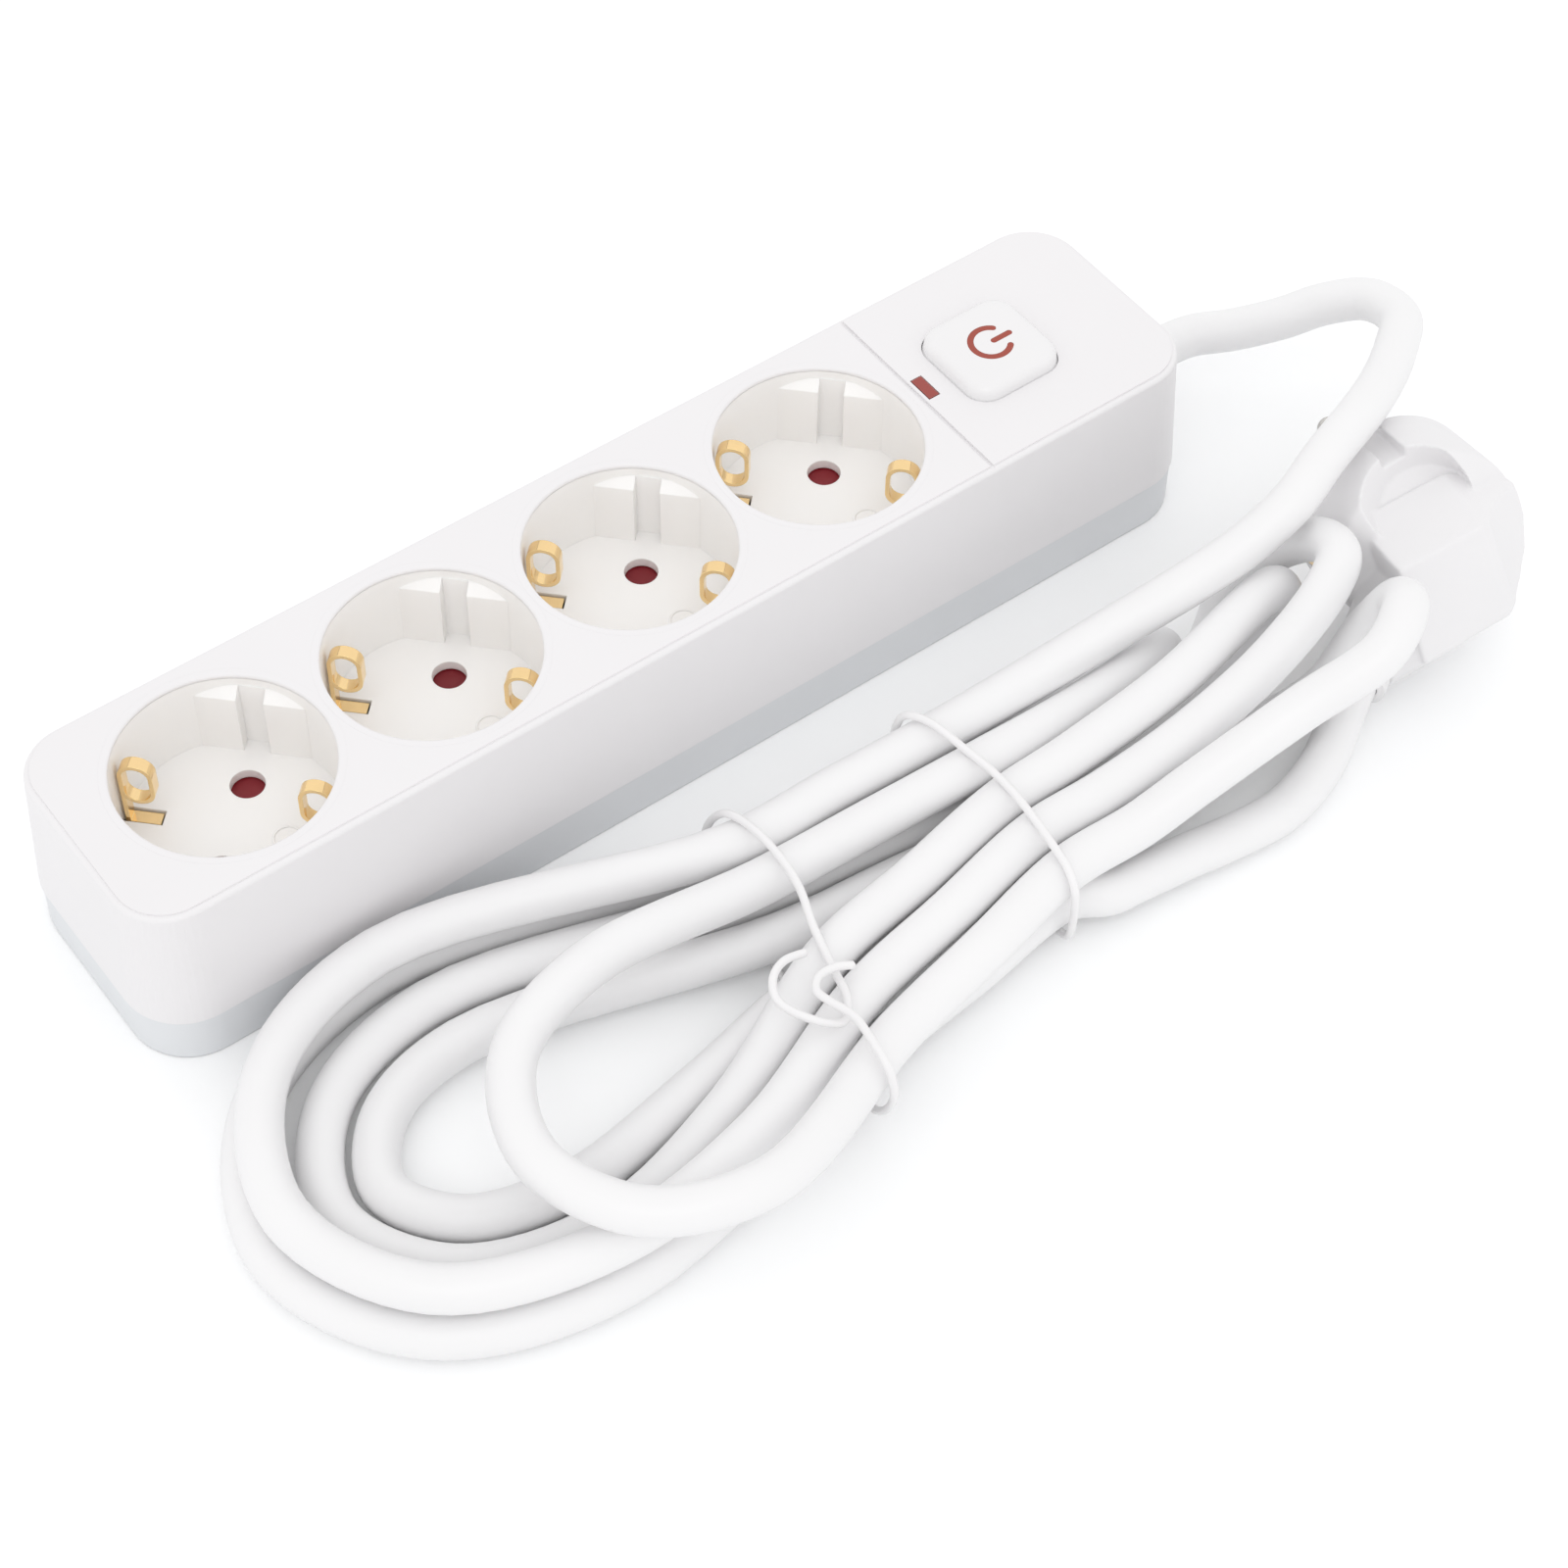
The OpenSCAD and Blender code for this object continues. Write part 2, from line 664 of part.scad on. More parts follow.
module indicator_lens() {
    color([0.55, 0.08, 0.08]) {
        block([lens_x - lens_w / 2, -lens_l / 2, lens_flange_z],
            [lens_x + lens_w / 2, lens_l / 2, body_h + 0.05]);
        block([lens_x - lens_w / 2 - 1, -lens_l / 2 - 1, lens_flange_z],
            [lens_x + lens_w / 2 + 1, lens_l / 2 + 1, ceiling_z - seat]);
    }
}

module indicator_lamp() {
    color([0.8, 0.3, 0.25]) translate([lens_x, 0, 0]) {
        rod(lamp_r + 0.4, lamp_z, lamp_z + 1);
        rod(lamp_r, lamp_z + 0.5, lamp_z + lamp_body);
        translate([0, 0, lamp_z + lamp_body]) sphere(lamp_r);
    }
}

// ---- Cord entry ----

module cord_gland() {
    inner_face = cavity_l / 2 - fit;
    outer_face = body_l / 2 + fit;
    color([0.93, 0.93, 0.93]) difference() {
        union() {
            x_rod(gland_r, inner_face - 2.4, outer_face + 0.5, exit_z);
            x_rod(gland_flange_r, inner_face - 2.4, inner_face, exit_z);
            x_rod(gland_flange_r, outer_face, outer_face + 1.4, exit_z);
            translate([outer_face + 1.4 - eps, 0, exit_z]) rotate([0, 90, 0])
                cylinder(r1 = gland_r, r2 = gland_bore_r + 0.8, h = gland_l - 1.4 - fit);
        }
        x_rod(gland_bore_r, body_l / 2 - 20, body_l / 2 + 20, exit_z);
    }
}

module cord_tail() {
    color([0.94, 0.94, 0.94]) x_rod(cord_r, tail_start_x, gland_end_x, exit_z);
}

module cord_clamp() {
    color([0.93, 0.93, 0.93]) difference() {
        block([clamp_x - clamp_l / 2, -clamp_w / 2, clamp_block_z],
            [clamp_x + clamp_l / 2, clamp_w / 2, clamp_top_z]);
        x_rod(gland_bore_r, clamp_x - 20, clamp_x + 20, exit_z);
        block([clamp_x - clamp_l, -gland_bore_r, clamp_block_z - 1],
            [clamp_x + clamp_l, gland_bore_r, exit_z]);
        for (s = [-1, 1]) translate([clamp_x, s * clamp_screw_y, 0])
            rod(screw_r + 0.15, clamp_block_z - 1, clamp_top_z + 1);
    }
}

module clamp_screws() {
    length = clamp_top_z - floor_t - 1.5;
    color([0.72, 0.72, 0.74]) for (s = [-1, 1])
        translate([clamp_x, s * clamp_screw_y, clamp_top_z]) mirror([0, 0, 1]) difference() {
            translate([0, 0, -screw_head_t]) screw(0, length);
            block([-2, -0.35, -screw_head_t - 1], [2, 0.35, 1 - screw_head_t]);
        }
}

// ---- Wires inside the housing ----

wire_r = 1.2;
wire_z = switch_floor_z + wire_r - 0.5;
foot_y = switch_w / 2 + 2.5;
rail_mid_y = pin_off + contact_gap + strip_t / 2;
rail_wire_z = rail_z + rail_h / 2;
core_x = tail_start_x;
core_off = 2.2;
// Least distance of a wire's end to its first bend
run = 1.3;
// Wires pass the switch's end at this place
pass_x = button_x + switch_l / 2 + wire_r + 1.2;

module wire(points) {
    tube(smooth_route(points, 3), wire_r, 6);
}

module live_wires() {
    x = button_x + pole_x;
    color([0.45, 0.25, 0.12]) {
        wire([[core_x, core_off, exit_z], [core_x - run, core_off, exit_z],
            [pass_x + 0.8, core_off + 1.4, exit_z - 0.5], [pass_x, 7, 11], [pass_x - 0.5, 11, 9],
            [x + 3, 15, 6.5], [x, foot_y + 3.6, wire_z], [x, foot_y + run, wire_z],
            [x, foot_y, wire_z]]);
        wire([[x, -foot_y, wire_z], [x, -foot_y - run, wire_z], [x, -foot_y - 3, wire_z],
            [x - 4, -17, wire_z], [x - 14, -17.5, wire_z], [rail_end + 8, -14, 5.5],
            [rail_end + 3.5, -rail_mid_y, rail_wire_z], [rail_end + run, -rail_mid_y, rail_wire_z],
            [rail_end, -rail_mid_y, rail_wire_z]]);
    }
}

module neutral_wires() {
    x = button_x - pole_x;
    color([0.15, 0.35, 0.7]) {
        wire([[core_x, -core_off, exit_z], [core_x - run, -core_off, exit_z],
            [pass_x + 0.8, -core_off - 1.4, exit_z - 0.5], [pass_x, -7, 12],
            [pass_x - 0.5, -10.6, 11.5], [x + 10, -13, 10.5], [x + 3, -15, 7.5],
            [x, -foot_y - 3.6, wire_z], [x, -foot_y - run, wire_z], [x, -foot_y, wire_z]]);
        wire([[x, foot_y, wire_z], [x, foot_y + run, wire_z], [x, foot_y + 3, wire_z],
            [x - 5, 15, wire_z], [rail_end + 6, 12.5, 5.5],
            [rail_end + 3, rail_mid_y, rail_wire_z], [rail_end + run, rail_mid_y, rail_wire_z],
            [rail_end, rail_mid_y, rail_wire_z]]);
    }
}

module earth_wire() {
    bar_end = socket_x(socket_count - 1) + 12;
    z = earth_bar_z + strip_t / 2;
    core_z = exit_z + 2.5;
    color([0.35, 0.6, 0.2])
        wire([[core_x, 0, core_z], [core_x - run, 0, core_z], [pass_x + 0.6, 1.4, core_z],
            [pass_x, 5, 15.8], [pass_x - 0.3, 9, 16], [button_x + 8.5, 11.5, 16],
            [button_x - 8, 11.5, 16], [button_x - 12, 8, 15.4], [bar_end + 8, 2.4, 15],
            [bar_end + 4.5, 0, z], [bar_end + run, 0, z], [bar_end, 0, z]]);
}

// ---- Plug ----

// The plug lies on the rim of its face and on its cord. Its own frame has the face at
// height 0, the pins along +Z and the line of the pins along X.
plug_at = [131, -59.5, 17.8];
plug_heading = 75;
plug_tilt = 110;
plug_roll = 166;
face_r = plug_face_d / 2;
back_z = -31;
core_r = 12.5;
core_depth = 10;
neck_end = [107, -81.5, 7];
neck_from = [100, -85.3, 5.6];
collar_l = 3;
collar_r_out = cord_r + 1.6;
strip_w = 4;

module in_plug() {
    translate(plug_at) rotate([0, 0, plug_heading]) rotate([0, plug_tilt, 0])
        rotate([0, 0, plug_roll]) children();
}

// Stands children at a point with their Z along a direction
module aim(at, dir) {
    d = unit(dir);
    translate(at) rotate([0, acos(d[2]), atan2(d[1], d[0])]) children();
}

// Corners of the sloping shoulder, of the raised block on it and of the block's cord end
shoulder_points = [[10.4, 7, -22.3], [10.4, -11, -22.3], [-12, 8, -24], [-14, -12, -24]];
block_points = [[8.2, 5.4, back_z], [8.2, -12, back_z], [-13.2, 6, back_z], [-14, -12.5, back_z],
    [10.6, 6.5, -21.5], [10.6, -12, -21.5], [5, 18, -19.5], [-2, 18.2, -21.5],
    [-8, 16.6, -24], [-12, 12.4, -25], [-10, 14, -15], [5, 17, -15], [-15, -12, -15],
    [9, -13, -15]];
cord_end_points = [[5, -11, back_z + 0.4], [-13, -11, back_z + 0.4], [-14, -4, back_z + 0.4],
    [4, -13, -19], [-14, -10, -18], [0, -6, -20]];

// Small marks whose hull is the convex solid with these corners
module corners(points) {
    for (p = points) translate(p) cube(0.4, center = true);
}

// Disc parallel to the shoulder's slope
module slope_disc(at, r) {
    translate(at) rotate([0, 127, 0]) cylinder(r = r, h = 0.2, $fn = 40);
}

module plug_body() {
    color([0.95, 0.95, 0.95]) difference() {
        union() {
            in_plug() mirror([0, 0, 1]) cylinder(r = face_r, h = plug_front_h);
            in_plug() hull() {
                translate([0, 0, -plug_front_h]) cylinder(r = face_r - 0.4, h = 2, $fn = 48);
                corners(shoulder_points);
            }
            in_plug() hull() corners(block_points);
            // carries the cord out at the side
            hull() {
                in_plug() corners(cord_end_points);
                aim(neck_end, neck_end - neck_from) cylinder(r = cord_r + 2.1, h = 1, $fn = 24);
            }
        }
        in_plug() {
            for (s = [0, 180]) rotate([0, 0, s]) {
                // groove that takes a socket's guide block
                block([face_r - 2.4, -2.5, 0.5 - plug_front_h], [face_r + 5, 2.5, 5]);
                // channel of an earth strip
                rotate([0, 0, 90]) block([face_r - 1.2, -strip_w / 2 - fit, -plug_front_h + 2],
                    [face_r + 5, strip_w / 2 + fit, 5]);
                translate([pin_pitch / 2, 0, -core_depth - 1])
                    cylinder(r = pin_d / 2 + 0.1, h = core_depth + 5);
            }
            translate([0, 0, -2 - core_depth]) cylinder(r = core_r + fit, h = core_depth);
            // round finger recess in the shoulder
            hull() {
                slope_disc([17.8, -3, -20.5], 10.5);
                slope_disc([8.4, 1.1, -19.4], 8.9);
            }
            // hollow side of the grip
            translate([-40, 26, -41]) rotate([0, 90, 0]) cylinder(r = 22.6, h = 70);
        }
    }
}

module plug_core() {
    color([0.75, 0.75, 0.75]) in_plug() difference() {
        translate([0, 0, -2 - core_depth + fit]) cylinder(r = core_r, h = core_depth - 2 * fit);
        for (s = [-1, 1]) translate([s * pin_pitch / 2, 0, -core_depth])
            cylinder(r = pin_d / 2 + 0.1, h = core_depth + 5);
    }
}

// Round pins on thinner roots that are held in the core
module plug_pins() {
    root = core_depth - 1;
    root_r = pin_d / 2 - 0.3;
    step = 0.3;
    tip = pin_l - pin_d / 2;
    color([0.85, 0.85, 0.87]) in_plug() for (s = [-1, 1])
        translate([s * pin_pitch / 2, 0, 0]) {
            rod(root_r, -root, step + 1);
            rod(pin_d / 2, step, tip);
            translate([0, 0, tip]) sphere(pin_d / 2, $fn = 32);
        }
}

module plug_earth_strips() {
    color([0.85, 0.66, 0.3]) in_plug() for (s = [90, 270]) rotate([0, 0, s])
        block([face_r - 1.2, -strip_w / 2, -plug_front_h + 2.2],
            [face_r - 1.2 + strip_t, strip_w / 2, -0.8]);
}

module plug_collar() {
    color([0.93, 0.93, 0.93]) aim(neck_end, neck_from - neck_end) difference() {
        cylinder(r = collar_r_out, h = collar_l);
        translate([0, 0, -1]) cylinder(r = cord_r + 0.1, h = collar_l + 2);
    }
}

// ---- Free cord ----

// Levels of the hank's strands in its ties, with the tie's wire under the lower ones,
// and of its rings, which lie on the floor and on each other
pitch = cord_d + 0.7;
low_z = tie_d + cord_r + 0.5;
high_z = low_z + pitch;
floor_ring_z = cord_r + 0.1;
mid_ring_z = floor_ring_z + pitch;
top_ring_z = mid_ring_z + pitch;

// Places of the two ties along the hank, and of the strands' columns in the right one
tie_xs = [-15, 30];
function column(i) = -52.6 - i * pitch;

function reversed(p) = [for (i = [len(p) - 1 : -1 : 0]) p[i]];

// Stretch from the left tie to the right one at one level
function strand(left_y, right_y, z) =
    [for (k = [0, 0.5, 1])
        [tie_xs[0] + (tie_xs[1] - tie_xs[0]) * k, left_y + (right_y - left_y) * k, z]];

// Turn at the left, from its +Y side to its -Y side
function left_turn(mid, reach, half_w, z) =
    [for (a = [90 : 45 : 270]) [mid[0] + reach * cos(a), mid[1] + half_w * sin(a), z]];

// Turn at the right, from its upper side to its lower side
function right_turn(mid, reach, spread_y, spread_z) =
    [for (a = [0 : 45 : 180]) mid + reach * sin(a) + [0, -spread_y, spread_z] * cos(a)];

// Where the lead and the plug's cord go on from the hank, each with the step of its
// straight run
lead_joint = [58, -54.8, 20.2];
lead_step = [4.1, -0.6, 1.1];
plug_joint = [46, -93.4, 5.6];
plug_step = [4.2, -0.4, -0.2];

// Route of the lead from the bushing, over the plug's rim, to the hank
lead_points = [[gland_end_x, 0, exit_z], [gland_end_x + 4.2, 0, exit_z],
    [gland_end_x + 8.4, 0, exit_z], [134.2, -1.1, 13.4], [140.5, -5.9, 15.2],
    [147.5, -11.6, 18.8], [154, -16.4, 22.8], [159, -22.8, 26.2], [158.2, -31.8, 29],
    [149, -40, 32.3], [138.6, -47, 36.3], [127, -53.4, 40.6], [114.2, -57.5, 39.7],
    [102.8, -61.2, 37.4], [91.6, -61, 32.4], [80, -59.4, 28.4],
    lead_joint + 2 * lead_step, lead_joint + lead_step, lead_joint];

// Loops of the hank, in the order of the cord
hank_points = concat(
    [lead_joint, lead_joint - lead_step, lead_joint - 2 * lead_step],
    reversed(strand(-50.5, -52, high_z)),
    left_turn([-76, -67.5], 40, 35.5, mid_ring_z),
    [[-45, -100.5, 14.8]],
    strand(-89, column(3), high_z),
    [[45, -80.6, 16.5], [63, -81.2, 20], [82, -80.5, 26]],
    right_turn([96.8, -67, 24], [9.5, 1, 6], 10.8, 8.5),
    [[91, -58.8, 8.6], [81, -63.6, 4.7], [66, -62.7, 4.7], [52, -62, 5.6]],
    reversed(strand(-56.5, column(1), low_z)),
    left_turn([-72, -68], 35.5, 27.2, floor_ring_z + 0.3),
    [[-44, -90.8, 9]],
    strand(-79.3, column(2), high_z),
    [[45, -71.3, 17.5], [68.5, -71.5, 22.5]],
    right_turn([91, -67.7, 19.2], [7.2, 1, 0.8], 0, 6.4),
    [[76, -72.3, 10], [62, -72.3, 7.6], [48, -71.6, 6.3]],
    reversed(strand(-66, column(2), low_z)),
    left_turn([-72, -68], 26, 17.4, floor_ring_z),
    [[-44, -82, 4.6]],
    strand(-77.6, column(3), low_z),
    [[55, -81.6, 6.2], [80, -82.8, 10]],
    reversed(right_turn([93, -91.2, 27], [12, 3.5, 7], 5.5, 10)),
    [[78, -93.5, 29], [57, -91, 21], [45, -90, 17]],
    reversed(strand(-98.8, column(4), high_z)),
    reversed(left_turn([-52, -87], 28, 26, top_ring_z)),
    strand(-60, column(1), high_z),
    [[52, -62, 14.8]],
    right_turn([71.5, -56.8, 10], [6.5, 0, 0], 4.2, 4.8),
    [[52, -52.5, 5.8]],
    reversed(strand(-47, column(0), low_z)),
    left_turn([-76, -68], 44, 37.5, floor_ring_z),
    strand(-94.5, column(4), low_z),
    [plug_joint - 2 * plug_step, plug_joint - plug_step, plug_joint]);
hank_route = smooth_route(hank_points, 3);

// Route from the hank to the plug
plug_lead_points = [plug_joint, plug_joint + plug_step, plug_joint + 2 * plug_step,
    [62, -95.2, 4.7], [76, -96, 4.4], [89, -92, 4.4], neck_from, (neck_from + neck_end) / 2,
    neck_end];

// Least clear distance between two stretches of a route that are not neighbours, with its
// points measured against its straight steps
function step_distance(at, a, b) =
    let (d = b - a, k = max(0, min(1, (at - a) * d / (d * d)))) norm(at - a - k * d);
function self_gap(p, apart) =
    min([for (i = [0 : len(p) - 1], j = [0 : len(p) - 2])
        if (abs(i - j) > apart) step_distance(p[i], p[j], p[j + 1])]) - cord_d;
echo(hank_self_gap = self_gap(hank_route, 8));

module cord_lead() {
    color([0.94, 0.94, 0.94]) tube(smooth_route(lead_points, 2), cord_r, 10);
}

module plug_lead() {
    color([0.94, 0.94, 0.94]) tube(smooth_route(plug_lead_points, 2), cord_r, 10);
}

module cord_hank() {
    color([0.94, 0.94, 0.94]) tube(hank_route, cord_r, 6);
}

// Plain loop of a tie across the hank, with its inner side from y0 to y1
module tie_loop(x, y0, y1) {
    low = low_z - cord_r - 0.35;
    high = high_z + cord_r + 0.6;
    difference() {
        block([x - tie_d / 2, y0 - tie_d, low - tie_d], [x + tie_d / 2, y1 + tie_d, high + tie_d]);
        block([x - tie_d, y0, low], [x + tie_d, y1, high]);
    }
}

module twist_tie() {
    color([0.95, 0.95, 0.95]) {
        tie_loop(tie_xs[0], -104, -41.8);
        tie_loop(tie_xs[1], column(4) - cord_r - 0.8, column(0) + cord_r + 1.4);
    }
}

top_cover();
base_tray();
cover_screws();
socket_cup_1();
socket_cup_2();
socket_cup_3();
socket_cup_4();
shutter_1();
shutter_2();
shutter_3();
shutter_4();
earth_bow_1();
earth_bow_2();
earth_bow_3();
earth_bow_4();
earth_busbar();
live_busbar();
neutral_busbar();
power_button();
power_icon();
switch_plunger();
switch_bridge();
switch_spring();
switch_housing();
switch_base();
switch_terminals();
indicator_lens();
indicator_lamp();
cord_gland();
cord_tail();
cord_clamp();
clamp_screws();
live_wires();
neutral_wires();
earth_wire();
cord_lead();
cord_hank();
plug_lead();
twist_tie();
plug_body();
plug_core();
plug_pins();
plug_earth_strips();
plug_collar();
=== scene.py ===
import json
import math

import bmesh
import bpy
from mathutils import Matrix, Vector


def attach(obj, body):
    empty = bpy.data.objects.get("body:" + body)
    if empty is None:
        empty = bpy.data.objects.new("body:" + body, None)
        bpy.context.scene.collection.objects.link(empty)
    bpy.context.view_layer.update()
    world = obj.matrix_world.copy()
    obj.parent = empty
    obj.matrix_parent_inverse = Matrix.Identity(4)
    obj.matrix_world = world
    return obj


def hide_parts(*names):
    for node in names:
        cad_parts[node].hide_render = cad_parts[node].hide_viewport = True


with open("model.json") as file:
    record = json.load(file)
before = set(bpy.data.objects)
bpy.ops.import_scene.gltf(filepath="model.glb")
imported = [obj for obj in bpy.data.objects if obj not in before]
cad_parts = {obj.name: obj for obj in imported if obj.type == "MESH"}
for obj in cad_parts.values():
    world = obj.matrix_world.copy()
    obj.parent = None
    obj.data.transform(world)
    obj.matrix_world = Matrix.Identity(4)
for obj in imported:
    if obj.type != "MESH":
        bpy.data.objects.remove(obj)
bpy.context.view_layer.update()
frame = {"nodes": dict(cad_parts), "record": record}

MM = 0.001


# ---- Camera ----

# Fitted to the photograph, with the sockets' real sizes as the scale
CAMERA_AT = (-0.2282, -0.34563, 0.50168)
CAMERA_AZIMUTH, CAMERA_ELEVATION, CAMERA_ROLL = -37.335, 52.144, 0.993
SENSOR_MM = 36
FOCAL_PX, PHOTO_PX = 3549.35, 1600
NEAR_M, FAR_M = 0.01, 20


def make_camera():
    az, el, roll = [math.radians(a)
                    for a in (CAMERA_AZIMUTH, CAMERA_ELEVATION, CAMERA_ROLL)]
    back = Vector((math.sin(az) * math.cos(el), -math.cos(az) * math.cos(el), math.sin(el)))
    flat_right = Vector((math.cos(az), math.sin(az), 0))
    flat_up = back.cross(flat_right)
    right = flat_right * math.cos(roll) + flat_up * math.sin(roll)
    up = flat_up * math.cos(roll) - flat_right * math.sin(roll)
    turn = Matrix((right, up, back)).transposed()
    data = bpy.data.cameras.new("camera")
    data.sensor_width = SENSOR_MM
    data.lens = SENSOR_MM * FOCAL_PX / PHOTO_PX
    data.clip_start, data.clip_end = NEAR_M, FAR_M
    camera = bpy.data.objects.new("camera", data)
    camera.matrix_world = Matrix.Translation(CAMERA_AT) @ turn.to_4x4()
    bpy.context.scene.collection.objects.link(camera)
    bpy.context.scene.camera = camera


make_camera()


# ---- Routes, as in the part's source ----

def vec(p):
    return Vector(p) * MM


def smooth_route(points, steps):
    """Smooth curve through all the points, with so many steps between two of them."""
    p = [2 * points[0] - points[1]] + points + [2 * points[-1] - points[-2]]
    out = []
    for i in range(1, len(p) - 2):
        p0, p1, p2, p3 = p[i - 1:i + 3]
        a, b, c = [math.sqrt((y - x).length) for x, y in ((p0, p1), (p1, p2), (p2, p3))]
        for k in range(steps):
            t = k / steps
            u = b * t
            q0 = p1 + (p1 - p0) * (u / a)
            q1 = p1 + (p2 - p1) * t
            q2 = p2 + (p3 - p2) * ((u - b) / c)
            r0 = q0 + (q1 - q0) * ((u + a) / (a + b))
            r1 = q1 + (q2 - q1) * (u / (b + c))
            out.append(r0 + (r1 - r0) * t)
    return out + [points[-1]]


CORD_D, CORD_GAP = 8.4, 0.7
CORD_STEPS, CORD_SIDES = 8, 24
PITCH = CORD_D + CORD_GAP
FIRST_COLUMN_Y = -52.6
LOW_Z = 6.2
HIGH_Z = LOW_Z + PITCH
FLOOR_RING_Z = CORD_D / 2 + 0.1
MID_RING_Z = FLOOR_RING_Z + PITCH
TOP_RING_Z = MID_RING_Z + PITCH
TIE_XS = (-15, 30)


def column(i):
    return FIRST_COLUMN_Y - i * PITCH


def strand(left_y, right_y, z):
    return [(TIE_XS[0] + (TIE_XS[1] - TIE_XS[0]) * k, left_y + (right_y - left_y) * k, z)
            for k in (0, 0.5, 1)]


def left_turn(mid, reach, half_w, z):
    return [(mid[0] + reach * math.cos(a), mid[1] + half_w * math.sin(a), z)
            for a in (math.radians(d) for d in range(90, 271, 45))]


def right_turn(mid, reach, spread_y, spread_z):
    return [tuple(m + r * math.sin(a) + s * math.cos(a)
                  for m, r, s in zip(mid, reach, (0, -spread_y, spread_z)))
            for a in (math.radians(d) for d in range(0, 181, 45))]


def steps_from(joint, step, counts):
    return [tuple(j + n * s for j, s in zip(joint, step)) for n in counts]


GLAND_END_X, EXIT_Z = 121.1, 13
LEAD_JOINT, LEAD_STEP = (58, -54.8, 20.2), (4.1, -0.6, 1.1)
PLUG_JOINT, PLUG_STEP = (46, -93.4, 5.6), (4.2, -0.4, -0.2)
NECK_FROM, NECK_END = (100, -85.3, 5.6), (107, -81.5, 7)
NECK_MID = (103.5, -83.4, 6.3)

LEAD = [(GLAND_END_X, 0, EXIT_Z), (GLAND_END_X + 4.2, 0, EXIT_Z), (GLAND_END_X + 8.4, 0, EXIT_Z),
        (134.2, -1.1, 13.4), (140.5, -5.9, 15.2), (147.5, -11.6, 18.8), (154, -16.4, 22.8),
        (159, -22.8, 26.2), (158.2, -31.8, 29), (149, -40, 32.3), (138.6, -47, 36.3),
        (127, -53.4, 40.6), (114.2, -57.5, 39.7), (102.8, -61.2, 37.4), (91.6, -61, 32.4),
        (80, -59.4, 28.4)]
LEAD += steps_from(LEAD_JOINT, LEAD_STEP, (2, 1))
HANK = (
    steps_from(LEAD_JOINT, LEAD_STEP, (0, -1, -2))
    + strand(-50.5, -52, HIGH_Z)[::-1]
    + left_turn((-76, -67.5), 40, 35.5, MID_RING_Z)
    + [(-45, -100.5, 14.8)]
    + strand(-89, column(3), HIGH_Z)
    + [(45, -80.6, 16.5), (63, -81.2, 20), (82, -80.5, 26)]
    + right_turn((96.8, -67, 24), (9.5, 1, 6), 10.8, 8.5)
    + [(91, -58.8, 8.6), (81, -63.6, 4.7), (66, -62.7, 4.7), (52, -62, 5.6)]
    + strand(-56.5, column(1), LOW_Z)[::-1]
    + left_turn((-72, -68), 35.5, 27.2, FLOOR_RING_Z + 0.3)
    + [(-44, -90.8, 9)]
    + strand(-79.3, column(2), HIGH_Z)
    + [(45, -71.3, 17.5), (68.5, -71.5, 22.5)]
    + right_turn((91, -67.7, 19.2), (7.2, 1, 0.8), 0, 6.4)
    + [(76, -72.3, 10), (62, -72.3, 7.6), (48, -71.6, 6.3)]
    + strand(-66, column(2), LOW_Z)[::-1]
    + left_turn((-72, -68), 26, 17.4, FLOOR_RING_Z)
    + [(-44, -82, 4.6)]
    + strand(-77.6, column(3), LOW_Z)
    + [(55, -81.6, 6.2), (80, -82.8, 10)]
    + right_turn((93, -91.2, 27), (12, 3.5, 7), 5.5, 10)[::-1]
    + [(78, -93.5, 29), (57, -91, 21), (45, -90, 17)]
    + strand(-98.8, column(4), HIGH_Z)[::-1]
    + left_turn((-52, -87), 28, 26, TOP_RING_Z)[::-1]
    + strand(-60, column(1), HIGH_Z)
    + [(52, -62, 14.8)]
    + right_turn((71.5, -56.8, 10), (6.5, 0, 0), 4.2, 4.8)
    + [(52, -52.5, 5.8)]
    + strand(-47, column(0), LOW_Z)[::-1]
    + left_turn((-76, -68), 44, 37.5, FLOOR_RING_Z)
    + strand(-94.5, column(4), LOW_Z)
    + steps_from(PLUG_JOINT, PLUG_STEP, (-2, -1, 0)))
PLUG_LEAD = (steps_from(PLUG_JOINT, PLUG_STEP, (1, 2))
             + [(62, -95.2, 4.7), (76, -96, 4.4), (89, -92, 4.4), NECK_FROM, NECK_MID, NECK_END])

